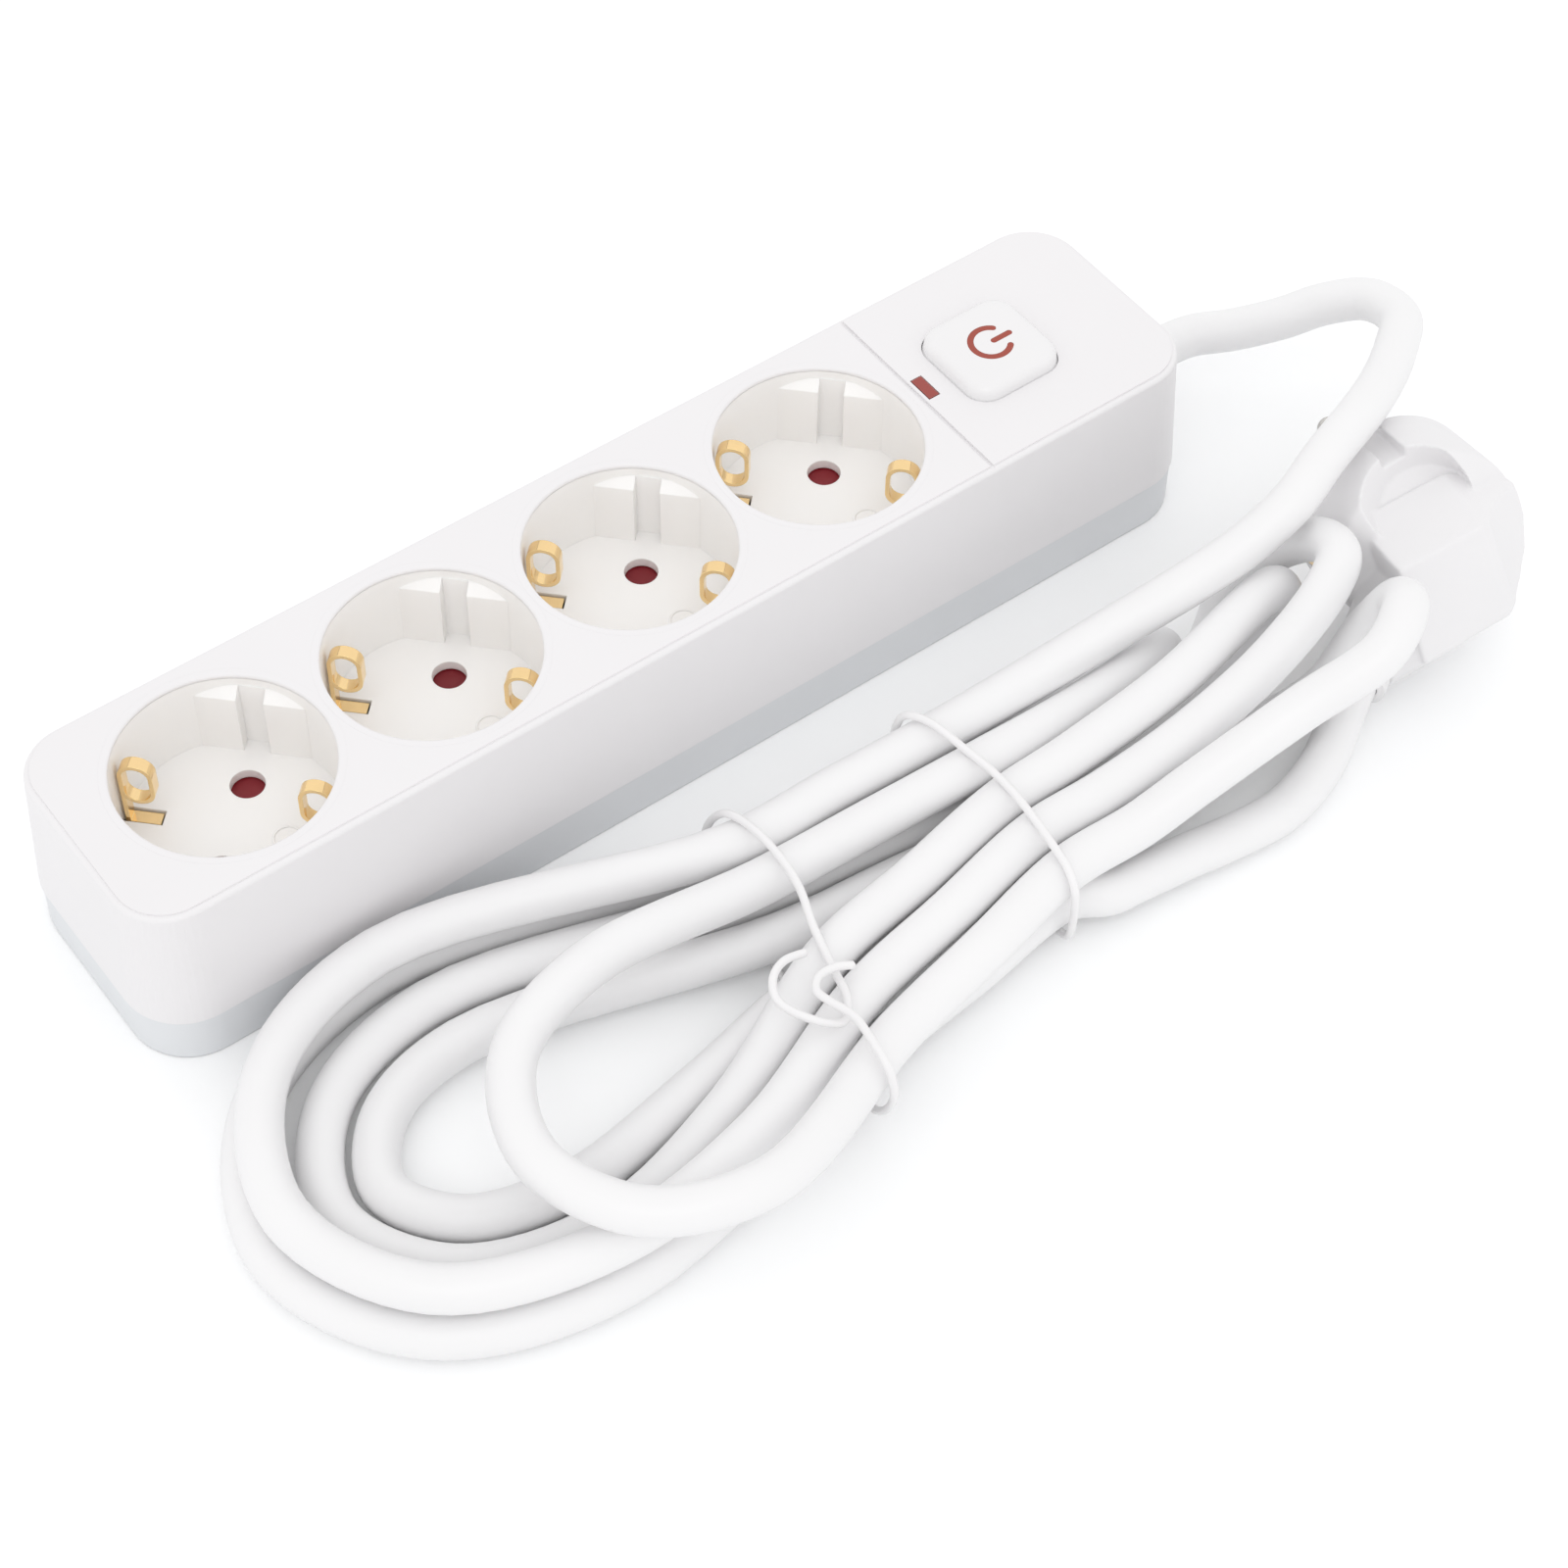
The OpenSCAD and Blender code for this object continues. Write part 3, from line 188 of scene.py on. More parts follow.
# The tie's wire, under and over the strands; the left turn has the two hooked ends
TIE_WIRE_R, TIE_STEPS, TIE_SIDES = 0.75, 6, 12
TIE_LOW_Z, TIE_HIGH_Z = 0.95, 20.55
LEFT_TIE = [
    (-20.5, -80.7, 22.8), (-25, -80, 23), (-28.6, -81.8, 23), (-30.6, -86, 23),
    (-28, -92, 22.6), (-23.5, -94.8, TIE_HIGH_Z + 0.7), (-20, -91, TIE_HIGH_Z + 0.4),
    (-18, -84, TIE_HIGH_Z + 0.1), (-15.6, -75.8, TIE_HIGH_Z), (-12.6, -67.7, TIE_HIGH_Z),
    (-11.4, -60, TIE_HIGH_Z), (-11.8, -52, TIE_HIGH_Z + 0.15), (-12.8, -46.6, 19.1),
    (-13.6, -42.4, 12), (-13.8, -41.5, 6.2), (-14, -42.6, 3), (-14.3, -45, 1.2),
    (-14.8, -49, TIE_LOW_Z), (-18, -72, TIE_LOW_Z), (-21.3, -94, TIE_LOW_Z), (-21.8, -98.5, 1.2),
    (-22.3, -103, 3.4), (-22.8, -106.8, 9.5), (-23.2, -108.4, 16.5), (-23.2, -106.6, 21.4),
    (-22.9, -102, 23.2), (-22.6, -96.4, 24), (-24, -91.4, 23.8), (-24.4, -88.4, 23.6),
    (-22.4, -86.2, 23.3), (-19, -86.2, 23.3), (-15.7, -87.7, 23)]
RIGHT_TIE = [
    (29.5, -74, TIE_LOW_Z), (28.5, -84, TIE_LOW_Z), (27.6, -90, TIE_LOW_Z), (27, -94, 3.2),
    (26.6, -95.2, 8), (26.6, -95.3, 14), (26.8, -94.4, 17.8), (27.3, -91.8, 20.1),
    (28, -87.5, TIE_HIGH_Z + 0.1), (29.5, -78, TIE_HIGH_Z), (30, -70, TIE_HIGH_Z),
    (29, -60, TIE_HIGH_Z), (27.6, -52, TIE_HIGH_Z + 0.1), (26, -47.6, 19), (25, -46.2, 14),
    (25, -46.4, 8), (26, -47.8, 3), (27.2, -51, 1.1), (28.4, -57, TIE_LOW_Z),
    (29.5, -68.5, TIE_LOW_Z)]


# ---- Meshes ----

ROUND_END_STEPS = (75, 50, 25)


def add_piece(name, bm, body="strip", smooth=True):
    mesh = bpy.data.meshes.new(name)
    bmesh.ops.recalc_face_normals(bm, faces=bm.faces[:])
    bm.to_mesh(mesh)
    bm.free()
    for face in mesh.polygons:
        face.use_smooth = smooth
    piece = bpy.data.objects.new(name, mesh)
    bpy.context.scene.collection.objects.link(piece)
    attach(piece, body)
    return piece


def tube_frames(path):
    """Tangent and two square directions at each point, turned as little as possible."""
    frames = []
    side = None
    for i, p in enumerate(path):
        d = (path[min(i + 1, len(path) - 1)] - path[max(i - 1, 0)]).normalized()
        if side is None:
            side = Vector((0, 0, 1)) if abs(d.z) < 0.9 else Vector((1, 0, 0))
        side = (side - d * side.dot(d)).normalized()
        frames.append((p, d, side, d.cross(side)))
    return frames


def add_tube(bm, path, radius, sides, round_ends=False):
    """Closed round tube along the path."""
    frames = tube_frames(path)
    if round_ends:
        steps = [math.radians(a) for a in ROUND_END_STEPS]
        p, d, s, t = frames[0]
        head = [(p + d * radius * (1 - math.sin(a)), d, s, t, radius * math.cos(a)) for a in steps]
        p, d, s, t = frames[-1]
        tail = [(p - d * radius * (1 - math.sin(a)), d, s, t, radius * math.cos(a))
                for a in reversed(steps)]
        body = [f + (radius,) for f in frames[1:-1]]
        frames = head + body + tail
    else:
        frames = [f + (radius,) for f in frames]
    rings = []
    for p, d, s, t, r in frames:
        rings.append([bm.verts.new(p + (s * math.cos(a) + t * math.sin(a)) * r)
                      for a in (2 * math.pi * k / sides for k in range(sides))])
    for low, high in zip(rings, rings[1:]):
        for k in range(sides):
            n = (k + 1) % sides
            bm.faces.new((low[k], low[n], high[n], high[k]))
    bm.faces.new(rings[0][::-1])
    bm.faces.new(rings[-1])


# ---- Materials ----

NOISE_ROUGHNESS = 0.55
BEVEL_SAMPLES = 16
# Where the bevelled and the flat normal part: full edge, no edge
EDGE_DOTS = (0.9, 0.995)
CLOUD_SCALE, SMEAR_SCALE, SMEAR_RANGE = 35, 220, (0.96, 1.06)
PLASTIC_IOR, PLASTIC_BUMP, COAT_ROUGHNESS = 1.46, 0.35, 0.12
BLOTCH_SCALE, LINE_SCALE, LINE_STRETCH, LINE_RANGE = 260, 1800, (1, 1, 14), (0.7, 1.4)
# Metal: edge radius, the gain of the painted glint on edges, bump strength and bump depth.
METAL_EDGE, METAL_GLINT_GAIN, METAL_BUMP, METAL_BUMP_DEPTH = 0.00015, 1.15, 0.3, 0.00001


def new_material(name):
    mat = bpy.data.materials.new(name)
    mat.use_nodes = True
    nodes = mat.node_tree.nodes
    nodes.clear()
    out = nodes.new("ShaderNodeOutputMaterial")
    shader = nodes.new("ShaderNodeBsdfPrincipled")
    mat.node_tree.links.new(shader.outputs[0], out.inputs[0])
    return mat, nodes, mat.node_tree.links.new, shader


def noise(nodes, link, coords, scale, detail, stretch=(1, 1, 1)):
    place = nodes.new("ShaderNodeMapping")
    place.inputs["Scale"].default_value = stretch
    link(coords, place.inputs["Vector"])
    tex = nodes.new("ShaderNodeTexNoise")
    tex.inputs["Scale"].default_value = scale
    tex.inputs["Detail"].default_value = detail
    tex.inputs["Roughness"].default_value = NOISE_ROUGHNESS
    link(place.outputs[0], tex.inputs["Vector"])
    return tex.outputs["Fac"]


def spread(nodes, link, value, low, high, start=0.3, end=0.7):
    """Maps the value's start to low and its end to high."""
    node = nodes.new("ShaderNodeMapRange")
    node.inputs["From Min"].default_value = start
    node.inputs["From Max"].default_value = end
    node.inputs["To Min"].default_value = low
    node.inputs["To Max"].default_value = high
    link(value, node.inputs["Value"])
    return node.outputs[0]


def blend_colors(nodes, link, amount, a, b):
    node = nodes.new("ShaderNodeMix")
    node.data_type = "RGBA"
    link(amount, node.inputs["Factor"])
    for socket, color in ((node.inputs[6], a), (node.inputs[7], b)):
        if isinstance(color, (tuple, list)):
            socket.default_value = (*color, 1)
        else:
            link(color, socket)
    return node.outputs[2]


def edge_mask(nodes, link, radius):
    """1 on rounded-over edges, 0 on flat faces, with the bevelled normal."""
    bevel = nodes.new("ShaderNodeBevel")
    bevel.samples = BEVEL_SAMPLES
    bevel.inputs["Radius"].default_value = radius
    geometry = nodes.new("ShaderNodeNewGeometry")
    dot = nodes.new("ShaderNodeVectorMath")
    dot.operation = "DOT_PRODUCT"
    link(bevel.outputs[0], dot.inputs[0])
    link(geometry.outputs["Normal"], dot.inputs[1])
    return spread(nodes, link, dot.outputs["Value"], 1, 0, *EDGE_DOTS), bevel.outputs[0]


def add_bump(nodes, link, shader, height, normal, strength, depth):
    bump = nodes.new("ShaderNodeBump")
    bump.inputs["Strength"].default_value = strength
    bump.inputs["Distance"].default_value = depth
    link(height, bump.inputs["Height"])
    if normal:
        link(normal, bump.inputs["Normal"])
    link(bump.outputs[0], shader.inputs["Normal"])


def plastic(name, color, roughness, tint=0.015, grain=5000, grain_depth=0.00001,
            edge=0.00035, coat=0.0, edge_highlight=0.06):
    """Moulded plastic: slight clouds, fine surface grain and, with edge, paler edges painted as a
    highlight.
    """
    mat, nodes, link, shader = new_material(name)
    coords = nodes.new("ShaderNodeTexCoord").outputs["Object"]
    cloud = noise(nodes, link, coords, CLOUD_SCALE, 3)
    darker = tuple(c * (1 - tint) for c in color)
    base = blend_colors(nodes, link, spread(nodes, link, cloud, 0, 1), darker, color)
    normal = None
    if edge:
        mask, normal = edge_mask(nodes, link, edge)
        # Painted highlight: the edges' colour is lifted towards white by the given amount.
        highlight_color = tuple(c + (1 - c) * edge_highlight for c in color)
        base = blend_colors(nodes, link, mask, base, highlight_color)
    link(base, shader.inputs["Base Color"])
    smear = noise(nodes, link, coords, SMEAR_SCALE, 5)
    link(spread(nodes, link, smear, *[roughness * k for k in SMEAR_RANGE]),
         shader.inputs["Roughness"])
    add_bump(nodes, link, shader, noise(nodes, link, coords, grain, 2), normal,
             PLASTIC_BUMP, grain_depth)
    shader.inputs["IOR"].default_value = PLASTIC_IOR
    if coat:
        shader.inputs["Coat Weight"].default_value = coat
        shader.inputs["Coat Roughness"].default_value = COAT_ROUGHNESS
    return mat


def metal(name, color, roughness, tint=0.25):
    """Rolled or turned metal: fine drawn lines, blotchy shine, and brighter edges painted as a
    glint.
    """
    mat, nodes, link, shader = new_material(name)
    coords = nodes.new("ShaderNodeTexCoord").outputs["Object"]
    cloud = noise(nodes, link, coords, BLOTCH_SCALE, 4)
    darker = tuple(c * (1 - tint) for c in color)
    base = blend_colors(nodes, link, spread(nodes, link, cloud, 0, 1), darker, color)
    mask, normal = edge_mask(nodes, link, METAL_EDGE)
    # Painted highlight: the edges' colour is raised by a gain, as a glint.
    edge_glint_color = tuple(min(1, c * METAL_GLINT_GAIN) for c in color)
    link(blend_colors(nodes, link, mask, base, edge_glint_color), shader.inputs["Base Color"])
    lines = noise(nodes, link, coords, LINE_SCALE, 2, stretch=LINE_STRETCH)
    link(spread(nodes, link, lines, *[roughness * k for k in LINE_RANGE]),
         shader.inputs["Roughness"])
    add_bump(nodes, link, shader, lines, normal, METAL_BUMP, METAL_BUMP_DEPTH)
    shader.inputs["Metallic"].default_value = 1.0
    return mat


# Per material, the edge amounts set how strongly the edges get a painted highlight.
MATS = {
    name: kind(name, color, roughness, **extra)
    for name, kind, color, roughness, extra in (
        ("cover_white", plastic, (0.855, 0.84, 0.85), 0.3,
         dict(tint=0.008, grain=4200, edge=0)),
        ("tray_grey", plastic, (0.78, 0.795, 0.815), 0.38, dict(tint=0.03, edge_highlight=0.1)),
        ("screw_steel", metal, (0.66, 0.66, 0.68), 0.3, {}),
        ("socket_white", plastic, (0.97, 0.96, 0.95), 0.34, dict(edge=0.0003)),
        ("shutter_red", plastic, (0.24, 0.012, 0.02), 0.35, dict(tint=0.2, edge_highlight=0.03)),
        ("contact_brass", metal, (0.96, 0.7, 0.36), 0.12, dict(tint=0.06)),
        ("button_white", plastic, (0.86, 0.85, 0.857), 0.25, dict(edge=0, coat=0.2)),
        ("icon_red", plastic, (0.4, 0.075, 0.05), 0.4, dict(tint=0.12, edge_highlight=0.0)),
        ("inner_plastic", plastic, (0.78, 0.77, 0.74), 0.45, {}),
        ("spring_steel", metal, (0.7, 0.7, 0.72), 0.25, {}),
        ("switch_black", plastic, (0.03, 0.03, 0.033), 0.45, dict(tint=0.3, edge_highlight=0.08)),
        ("lens_red", plastic, (0.36, 0.05, 0.035), 0.18,
         dict(tint=0.15, coat=0.5, edge_highlight=0.05)),
        ("lamp_red", plastic, (0.6, 0.12, 0.08), 0.15, dict(coat=0.4)),
        ("gland_white", plastic, (0.89, 0.88, 0.885), 0.42,
         dict(grain=2600, grain_depth=0.00002)),
        ("cord_white", plastic, (0.895, 0.89, 0.895), 0.34,
         dict(grain=1800, grain_depth=0.000008, edge=0)),
        ("tie_white", plastic, (0.91, 0.9, 0.905), 0.3, dict(tint=0.05, edge=0)),
        ("wire_brown", plastic, (0.16, 0.05, 0.02), 0.4, dict(tint=0.15)),
        ("wire_blue", plastic, (0.03, 0.1, 0.4), 0.4, dict(tint=0.15)),
        ("wire_green", plastic, (0.2, 0.42, 0.06), 0.4, dict(tint=0.2)),
        ("plug_white", plastic, (0.86, 0.85, 0.86), 0.4,
         dict(tint=0.03, grain=3000, grain_depth=0.00002, edge=0)),
        ("core_grey", plastic, (0.6, 0.6, 0.6), 0.45, {}),
        ("pin_nickel", metal, (0.72, 0.7, 0.67), 0.2, {}),
    )
}


def dress(piece, slot, *replaced):
    """Gives a piece the material named after the slot, and hides the CAD nodes that it replaces,
    if any.
    """
    piece.data.materials.append(MATS[slot])
    if replaced:
        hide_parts(*replaced)


for entry in frame["record"]["subparts"]:
    node = frame["nodes"][entry["node"]]
    node.data.materials.clear()
    node.data.materials.append(MATS[entry["material_slot"]])


# ---- Housing details ----

SOCKET_XS = (-84, -42, 0, 42)
WELL_R, CUP_WALL, FIT = 19.5, 0.8, 0.2
DECK_Z = 38.4
# The trims stand a hair above the deck and reach a little over the joint's two sides
TRIM_INSIDE, TRIM_OUTSIDE, TRIM_RISE, TRIM_DEPTH, TRIM_SIDES = 0.08, 0.5, 0.03, 0.9, 128
BUTTON_X, BUTTON_Z = 82, 41.2
# Half width and height of the cap's outline, from its skirt to the flat top
BUTTON_LEVELS = [(10.42, 35.6), (10.42, 38.0), (10.36, 38.15), (10.2, 38.2), (10.19, 39.2),
                 (10.1, 39.75), (9.85, 40.25), (9.45, 40.65), (8.95, 40.92), (8.3, 41.1),
                 (7.5, 41.18), (6.6, BUTTON_Z)]
BUTTON_STRAIGHT, BUTTON_STEPS = 5.55, 12
# Half the ring's opening and what its round ends take of the turn, in degrees
ICON_GAP, ICON_END = 36, 9
ICON_R, ICON_W, ICON_STEPS = 4.4, 1.25, 48
ICON_BAR_FROM, ICON_BAR_L = 0.8, 3.6
ICON_SINK, ICON_RISE, ICON_EASE = 0.1, 0.015, 0.02


def lathe(bm, at, outline, sides):
    """Closed ring from an outline of radius and height pairs."""
    rings = []
    for a in (2 * math.pi * k / sides for k in range(sides)):
        rings.append([bm.verts.new(vec((at[0] + r * math.cos(a), at[1] + r * math.sin(a), z)))
                      for r, z in outline])
    for ring, after in zip(rings, rings[1:] + rings[:1]):
        for k in range(len(outline)):
            n = (k + 1) % len(outline)
            bm.faces.new((ring[k], after[k], after[n], ring[n]))


def make_well_trims():
    """Closes the joint between each socket's rim and the deck with a soft inner edge."""
    inner, outer = WELL_R - TRIM_INSIDE, WELL_R + CUP_WALL + FIT + TRIM_OUTSIDE
    foot, top = DECK_Z - TRIM_DEPTH, DECK_Z + TRIM_RISE
    bm = bmesh.new()
    for x in SOCKET_XS:
        lathe(bm, (x, 0), [(inner + 0.07, foot), (outer, foot), (outer, DECK_Z + 0.015),
                           (outer - 0.03, top), (outer - 0.1, top), (inner + 0.7, top),
                           (inner + 0.6, top), (inner + 0.3, DECK_Z - 0.02),
                           (inner + 0.1, DECK_Z - 0.17), (inner, DECK_Z - 0.4)], TRIM_SIDES)
    dress(add_piece("well_trims", bm), "cover_white")


def add_stroke(bm, path, half_w, z0, z1):
    """Flat stroke with round ends, as a closed plate."""
    def sides(i):
        d = (path[min(i + 1, len(path) - 1)] - path[max(i - 1, 0)]).normalized()
        return Vector((-d.y, d.x)) * half_w, d * half_w
    left = [path[i] + sides(i)[0] for i in range(len(path))]
    right = [path[i] - sides(i)[0] for i in range(len(path))]

    def cap(at, across, along):
        return [at + across * math.cos(a) + along * math.sin(a)
                for a in (math.pi * k / 10 for k in range(1, 10))]
    across, along = sides(len(path) - 1)
    outline = left + cap(path[-1], across, along)
    across, along = sides(0)
    outline += right[::-1] + cap(path[0], -across, -along)
    low = [bm.verts.new(vec((p.x, p.y, z0))) for p in outline]
    high = [bm.verts.new(vec((p.x, p.y, z1))) for p in outline]
    bm.faces.new(low[::-1])
    bm.faces.new(high)
    for k in range(len(outline)):
        n = (k + 1) % len(outline)
        bm.faces.new((low[k], low[n], high[n], high[k]))


def round_square(half, corner, z):
    """Outline of a square with round corners, as points of one ring."""
    points = []
    for quarter in range(4):
        mid = Vector((half - corner, half - corner)) @ Matrix.Rotation(-math.pi / 2 * quarter, 2)
        for k in range(BUTTON_STEPS):
            a = math.pi / 2 * (quarter + k / (BUTTON_STEPS - 1))
            points.append((BUTTON_X + mid.x + corner * math.cos(a),
                           mid.y + corner * math.sin(a), z))
    return points


def make_button():
    """Cap with soft upper edges, on a skirt that nearly closes the joint round it."""
    bm = bmesh.new()
    rings = [[bm.verts.new(vec(p)) for p in round_square(half, half - BUTTON_STRAIGHT, z)]
             for half, z in BUTTON_LEVELS]
    for low, high in zip(rings, rings[1:]):
        for k in range(len(low)):
            n = (k + 1) % len(low)
            bm.faces.new((low[k], low[n], high[n], high[k]))
    bm.faces.new(rings[0][::-1])
    bm.faces.new(rings[-1])
    dress(add_piece("button_cap", bm, body="button"), "button_white", "power_button")


def make_icon():
    """Power symbol printed on the cap: an open ring and a bar."""
    bm = bmesh.new()
    radius = ICON_R - ICON_W / 2
    start = ICON_GAP + ICON_END
    turns = [math.radians(start + (360 - 2 * start) * k / ICON_STEPS)
             for k in range(ICON_STEPS + 1)]
    ring = [Vector((BUTTON_X + radius * math.cos(a), radius * math.sin(a))) for a in turns]
    bar = [Vector((BUTTON_X + ICON_BAR_FROM + ICON_BAR_L * k / 6, 0)) for k in range(7)]
    for path in (ring, bar):
        add_stroke(bm, path, ICON_W / 2 - ICON_EASE, BUTTON_Z - ICON_SINK,
                   BUTTON_Z + ICON_RISE)
    dress(add_piece("printed_icon", bm, body="button", smooth=False), "icon_red", "power_icon")


make_well_trims()
make_button()
make_icon()


# ---- Plug ----

# The plug's own frame, as in the part's source: face at height 0 and pins along +Z
PLUG_AT, PLUG_HEADING, PLUG_TILT, PLUG_ROLL = (131, -59.5, 17.8), 75, 110, 166
PLUG_FRAME = (Matrix.Translation(vec(PLUG_AT))
              @ Matrix.Rotation(math.radians(PLUG_HEADING), 4, "Z")
              @ Matrix.Rotation(math.radians(PLUG_TILT), 4, "Y")
              @ Matrix.Rotation(math.radians(PLUG_ROLL), 4, "Z"))
FACE_R, FRONT_H, BACK_Z = 18.5, 17, -31
RIM_EASE = 0.5
SHOULDER_POINTS = [(10.4, 7, -22.3), (10.4, -11, -22.3), (-12, 8, -24), (-14, -12, -24)]
# Turn, depth and half width of the guide grooves and of the earth strips' channels
FACE_CHANNELS = ((0, 2.4, 2.5), (180, 2.4, 2.5), (90, 1.3, 2.3), (270, 1.3, 2.3))
# Middle and radius of the finger recess, at its mouth and at its floor
RECESS_MOUTH, RECESS_FLOOR = ((18.6, -3.3, -20.7), 10.9), ((7.6, 1.4, -18.8), 9.2)
SHOULDER_SLOPE = (0.6, 0.8)
GRIP_POINTS = [(8.2, 5.4, BACK_Z), (8.2, -12, BACK_Z), (-13.2, 6, BACK_Z),
               (-14, -12.5, BACK_Z), (11.6, 7, -16), (11.6, -12, -16), (5, 18, -19.5),
               (-2, 18.2, -21.5), (-8, 16.6, -24), (-12, 12.4, -25), (-10, 14, -12),
               (5, 17, -12), (-15, -12, -12), (9, -13, -12)]
NECK_AT, NECK_ALONG, NECK_R, NECK_SIDES = (-14.7, -21.7, -22.1), (-0.21, -0.75, -0.63), 6.3, 24
NECK_ROOT = [(5, -11, BACK_Z + 0.4), (-13, -11, BACK_Z + 0.4), (-14, -4, BACK_Z + 0.4),
             (4, -13, -19), (-14, -10, -18), (0, -6, -20)]
HOLLOW_AT, HOLLOW_AXIS = (30, 26, -41), (-1, 0.04, 0)
HOLLOW_R, HOLLOW_L, HOLLOW_SIDES = 22.6, 70, 96
CUT_VOXEL, JOIN_VOXEL = 0.4, 0.33
SOFTEN_FACTOR, SOFTEN_PASSES = 0.5, 3


def add_hull(bm, points):
    """Closed hull of the points, without the points that end up inside it."""
    made = bmesh.ops.convex_hull(bm, input=[bm.verts.new(vec(p)) for p in points])
    loose = {v for v in made["geom_interior"] + made["geom_unused"]
             if isinstance(v, bmesh.types.BMVert)}
    bmesh.ops.delete(bm, geom=list(loose), context="VERTS")


def ring(r, z, sides=64):
    return [(r * math.cos(a), r * math.sin(a), z)
            for a in (2 * math.pi * k / sides for k in range(sides))]


def slanted_ring(mid, r, sides=48):
    """Circle parallel to the shoulder's slope."""
    out, down = SHOULDER_SLOPE
    return [(mid[0] + r * out * math.sin(a), mid[1] + r * math.cos(a),
             mid[2] + r * down * math.sin(a))
            for a in (2 * math.pi * k / sides for k in range(sides))]


def loose_object(bm):
    """Object that only carries a mesh through its modifiers."""
    mesh = bpy.data.meshes.new("work")
    bmesh.ops.recalc_face_normals(bm, faces=bm.faces[:])
    bm.to_mesh(mesh)
    bm.free()
    work = bpy.data.objects.new("work", mesh)
    bpy.context.scene.collection.objects.link(work)
    return work


def baked(work):
    """Mesh of the object with its modifiers, which takes the object's place."""
    graph = bpy.context.evaluated_depsgraph_get()
    mesh = bpy.data.meshes.new_from_object(work.evaluated_get(graph))
    bpy.data.objects.remove(work)
    return mesh


def plug_disc():
    """Round front with a sloping shoulder."""
    bm = bmesh.new()
    add_hull(bm, ring(FACE_R - RIM_EASE, -0.05) + ring(FACE_R, -0.6)
             + ring(FACE_R, -FRONT_H) + ring(FACE_R - RIM_EASE, -FRONT_H - 0.6)
             + SHOULDER_POINTS)
    return bm


def plug_disc_cuts():
    """Grooves for a socket's guide blocks, channels of the earth strips, finger recess."""
    bm = bmesh.new()
    for turn, depth, half_w in FACE_CHANNELS:
        turned = Matrix.Rotation(math.radians(turn), 4, "Z")
        corners = [turned @ Vector((x, y, z)) for x in (FACE_R - depth, FACE_R + 6)
                   for y in (-half_w, half_w) for z in (-FRONT_H + 0.5, 3)]
        add_hull(bm, [tuple(c) for c in corners])
    add_hull(bm, slanted_ring(*RECESS_MOUTH) + slanted_ring(*RECESS_FLOOR))
    return bm


def plug_block():
    """Raised grip with a ridge, and the part of it that turns the cord out at the side."""
    bm = bmesh.new()
    add_hull(bm, GRIP_POINTS)
    along = Vector(NECK_ALONG).normalized()
    side = along.cross(Vector((0, 0, 1))).normalized()
    rim = [Vector(NECK_AT) + (side * math.cos(a) + side.cross(along) * math.sin(a)) * NECK_R
           for a in (2 * math.pi * k / NECK_SIDES for k in range(NECK_SIDES))]
    add_hull(bm, [tuple(p) for p in rim] + NECK_ROOT)
    return bm


def plug_block_cut():
    """Large round that hollows the grip's side."""
    bm = bmesh.new()
    start = vec(HOLLOW_AT)
    end = start + Vector(HOLLOW_AXIS).normalized() * HOLLOW_L * MM
    add_tube(bm, [start, end], HOLLOW_R * MM, HOLLOW_SIDES)
    return bm


def carved(solid, cutter):
    """Mesh of the solid, evened out, less the cutter."""
    work, cuts = loose_object(solid), loose_object(cutter)
    remesh = work.modifiers.new("even", "REMESH")
    remesh.mode, remesh.voxel_size = "VOXEL", CUT_VOXEL * MM
    cut = work.modifiers.new("cut", "BOOLEAN")
    cut.operation, cut.object, cut.solver, cut.use_self = "DIFFERENCE", cuts, "EXACT", True
    mesh = baked(work)
    bpy.data.objects.remove(cuts)
    return mesh


def make_plug():
    """Shell of the plug: the carved front and grip joined with soft inner corners."""
    bm = bmesh.new()
    bm.from_mesh(carved(plug_disc(), plug_disc_cuts()))
    bm.from_mesh(carved(plug_block(), plug_block_cut()))
    work = loose_object(bm)
    remesh = work.modifiers.new("join", "REMESH")
    remesh.mode, remesh.voxel_size = "VOXEL", JOIN_VOXEL * MM
    soften = work.modifiers.new("soften", "SMOOTH")
    soften.factor, soften.iterations = SOFTEN_FACTOR, SOFTEN_PASSES
    mesh = baked(work)
    mesh.transform(PLUG_FRAME)
    bm = bmesh.new()
    bm.from_mesh(mesh)
    piece = add_piece("plug_shell", bm)
    dress(piece, "plug_white", "plug_body")
    return piece


# ---- Cord and tie ----

def make_cord():
    """The whole cord as one tube, with its centreline and length."""
    path = smooth_route([vec(p) for p in LEAD + HANK + PLUG_LEAD], CORD_STEPS)
    bm = bmesh.new()
    add_tube(bm, path, CORD_D / 2 * MM, CORD_SIDES)
    piece = add_piece("supply_cord", bm)
    dress(piece, "cord_white", "cord_lead", "cord_hank", "plug_lead")
    length = sum((b - a).length for a, b in zip(path, path[1:]))
    return piece, path, length


def make_tie():
    """The tie's wire, in its two turns round the hank."""
    bm = bmesh.new()
    for route in (LEFT_TIE, RIGHT_TIE):
        path = smooth_route([vec(p) for p in route], TIE_STEPS)
        add_tube(bm, path, TIE_WIRE_R * MM, TIE_SIDES, round_ends=True)
    piece = add_piece("wire_tie", bm)
    dress(piece, "tie_white", "twist_tie")
    return piece


cord, cord_path, cord_length = make_cord()
tie = make_tie()
plug = make_plug()


# ---- Studio ----

FLOOR_COLOR, FLOOR_GLOW = (0.93, 0.935, 0.94), 0.1
FLOOR_HALF_M, FLOOR_Z_M = 6, -0.0002
SKY_STRENGTH = 1.0
KEY_STRENGTH, KEY_ANGLES, KEY_SPREAD = 0.26, (28, -22, 0), 40


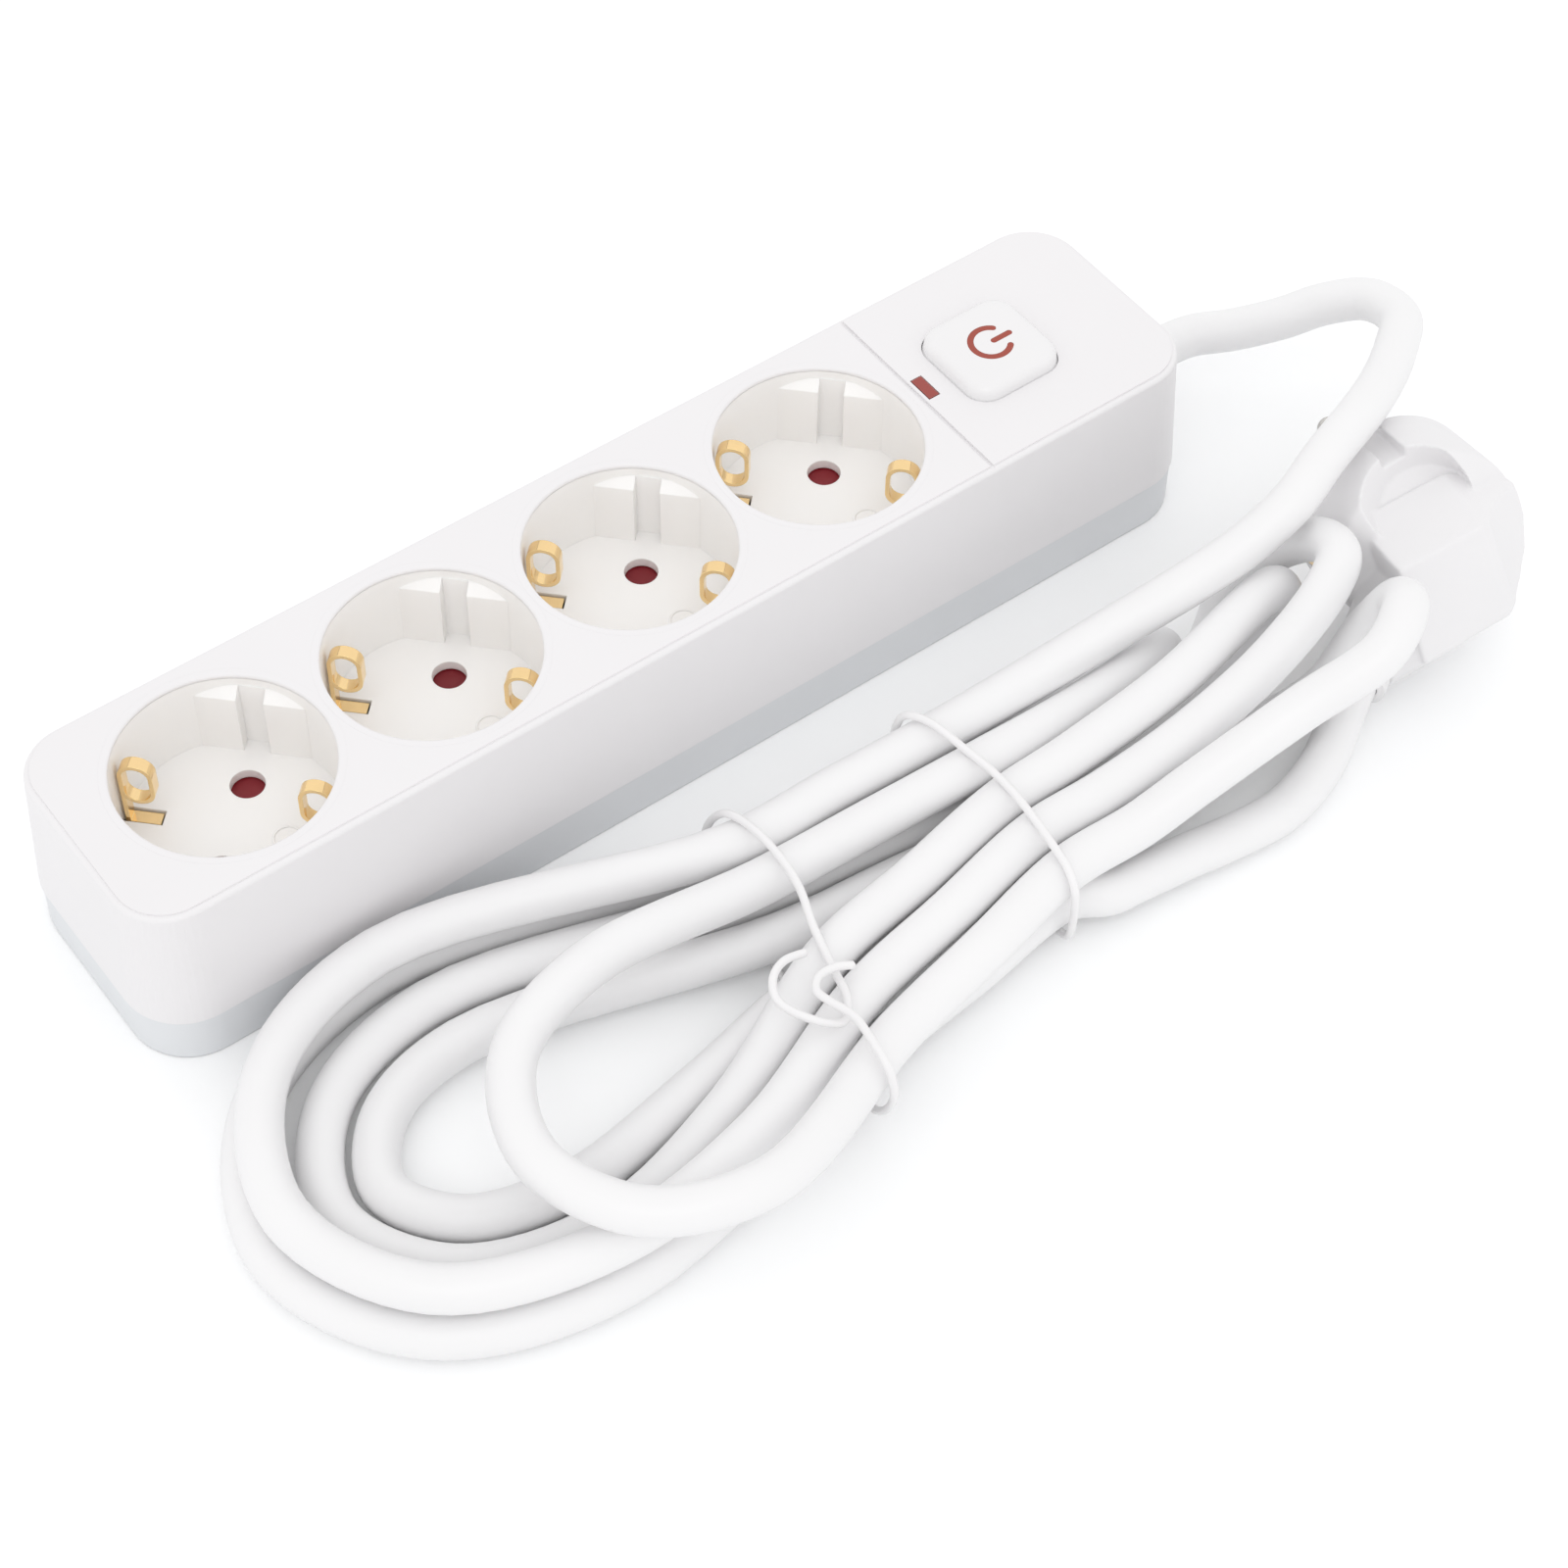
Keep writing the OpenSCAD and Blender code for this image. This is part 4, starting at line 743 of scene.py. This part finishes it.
def make_floor():
    """Pale matte floor that glows a little for the camera alone."""
    mat = bpy.data.materials.new("floor")
    mat.use_nodes = True
    nodes, link = mat.node_tree.nodes, mat.node_tree.links.new
    nodes.clear()
    out = nodes.new("ShaderNodeOutputMaterial")
    matte = nodes.new("ShaderNodeBsdfDiffuse")
    matte.inputs["Color"].default_value = (*FLOOR_COLOR, 1)
    glow = nodes.new("ShaderNodeEmission")
    rays = nodes.new("ShaderNodeLightPath")
    seen = nodes.new("ShaderNodeMath")
    seen.operation = "MULTIPLY"
    seen.inputs[1].default_value = FLOOR_GLOW
    link(rays.outputs["Is Camera Ray"], seen.inputs[0])
    link(seen.outputs[0], glow.inputs["Strength"])
    both = nodes.new("ShaderNodeAddShader")
    link(matte.outputs[0], both.inputs[0])
    link(glow.outputs[0], both.inputs[1])
    link(both.outputs[0], out.inputs[0])
    bm = bmesh.new()
    bmesh.ops.create_grid(bm, x_segments=1, y_segments=1, size=FLOOR_HALF_M)
    mesh = bpy.data.meshes.new("floor")
    bm.to_mesh(mesh)
    bm.free()
    mesh.materials.append(mat)
    floor = bpy.data.objects.new("floor", mesh)
    floor.location.z = FLOOR_Z_M
    bpy.context.scene.collection.objects.link(floor)


def make_world():
    """Even white surround, which is both the soft light and the backdrop."""
    world = bpy.data.worlds.new("world")
    bpy.context.scene.world = world
    world.use_nodes = True
    nodes = world.node_tree.nodes
    nodes.clear()
    out = nodes.new("ShaderNodeOutputWorld")
    sky = nodes.new("ShaderNodeBackground")
    sky.inputs["Color"].default_value = (1, 1, 1, 1)
    sky.inputs["Strength"].default_value = SKY_STRENGTH
    world.node_tree.links.new(sky.outputs[0], out.inputs[0])


def make_key():
    """Broad soft key light from above."""
    data = bpy.data.lights.new("key", "SUN")
    data.energy = KEY_STRENGTH
    data.angle = math.radians(KEY_SPREAD)
    lamp = bpy.data.objects.new("key", data)
    lamp.rotation_euler = [math.radians(a) for a in KEY_ANGLES]
    bpy.context.scene.collection.objects.link(lamp)


make_floor()
make_world()
make_key()
bpy.context.scene.view_settings.view_transform = "Standard"
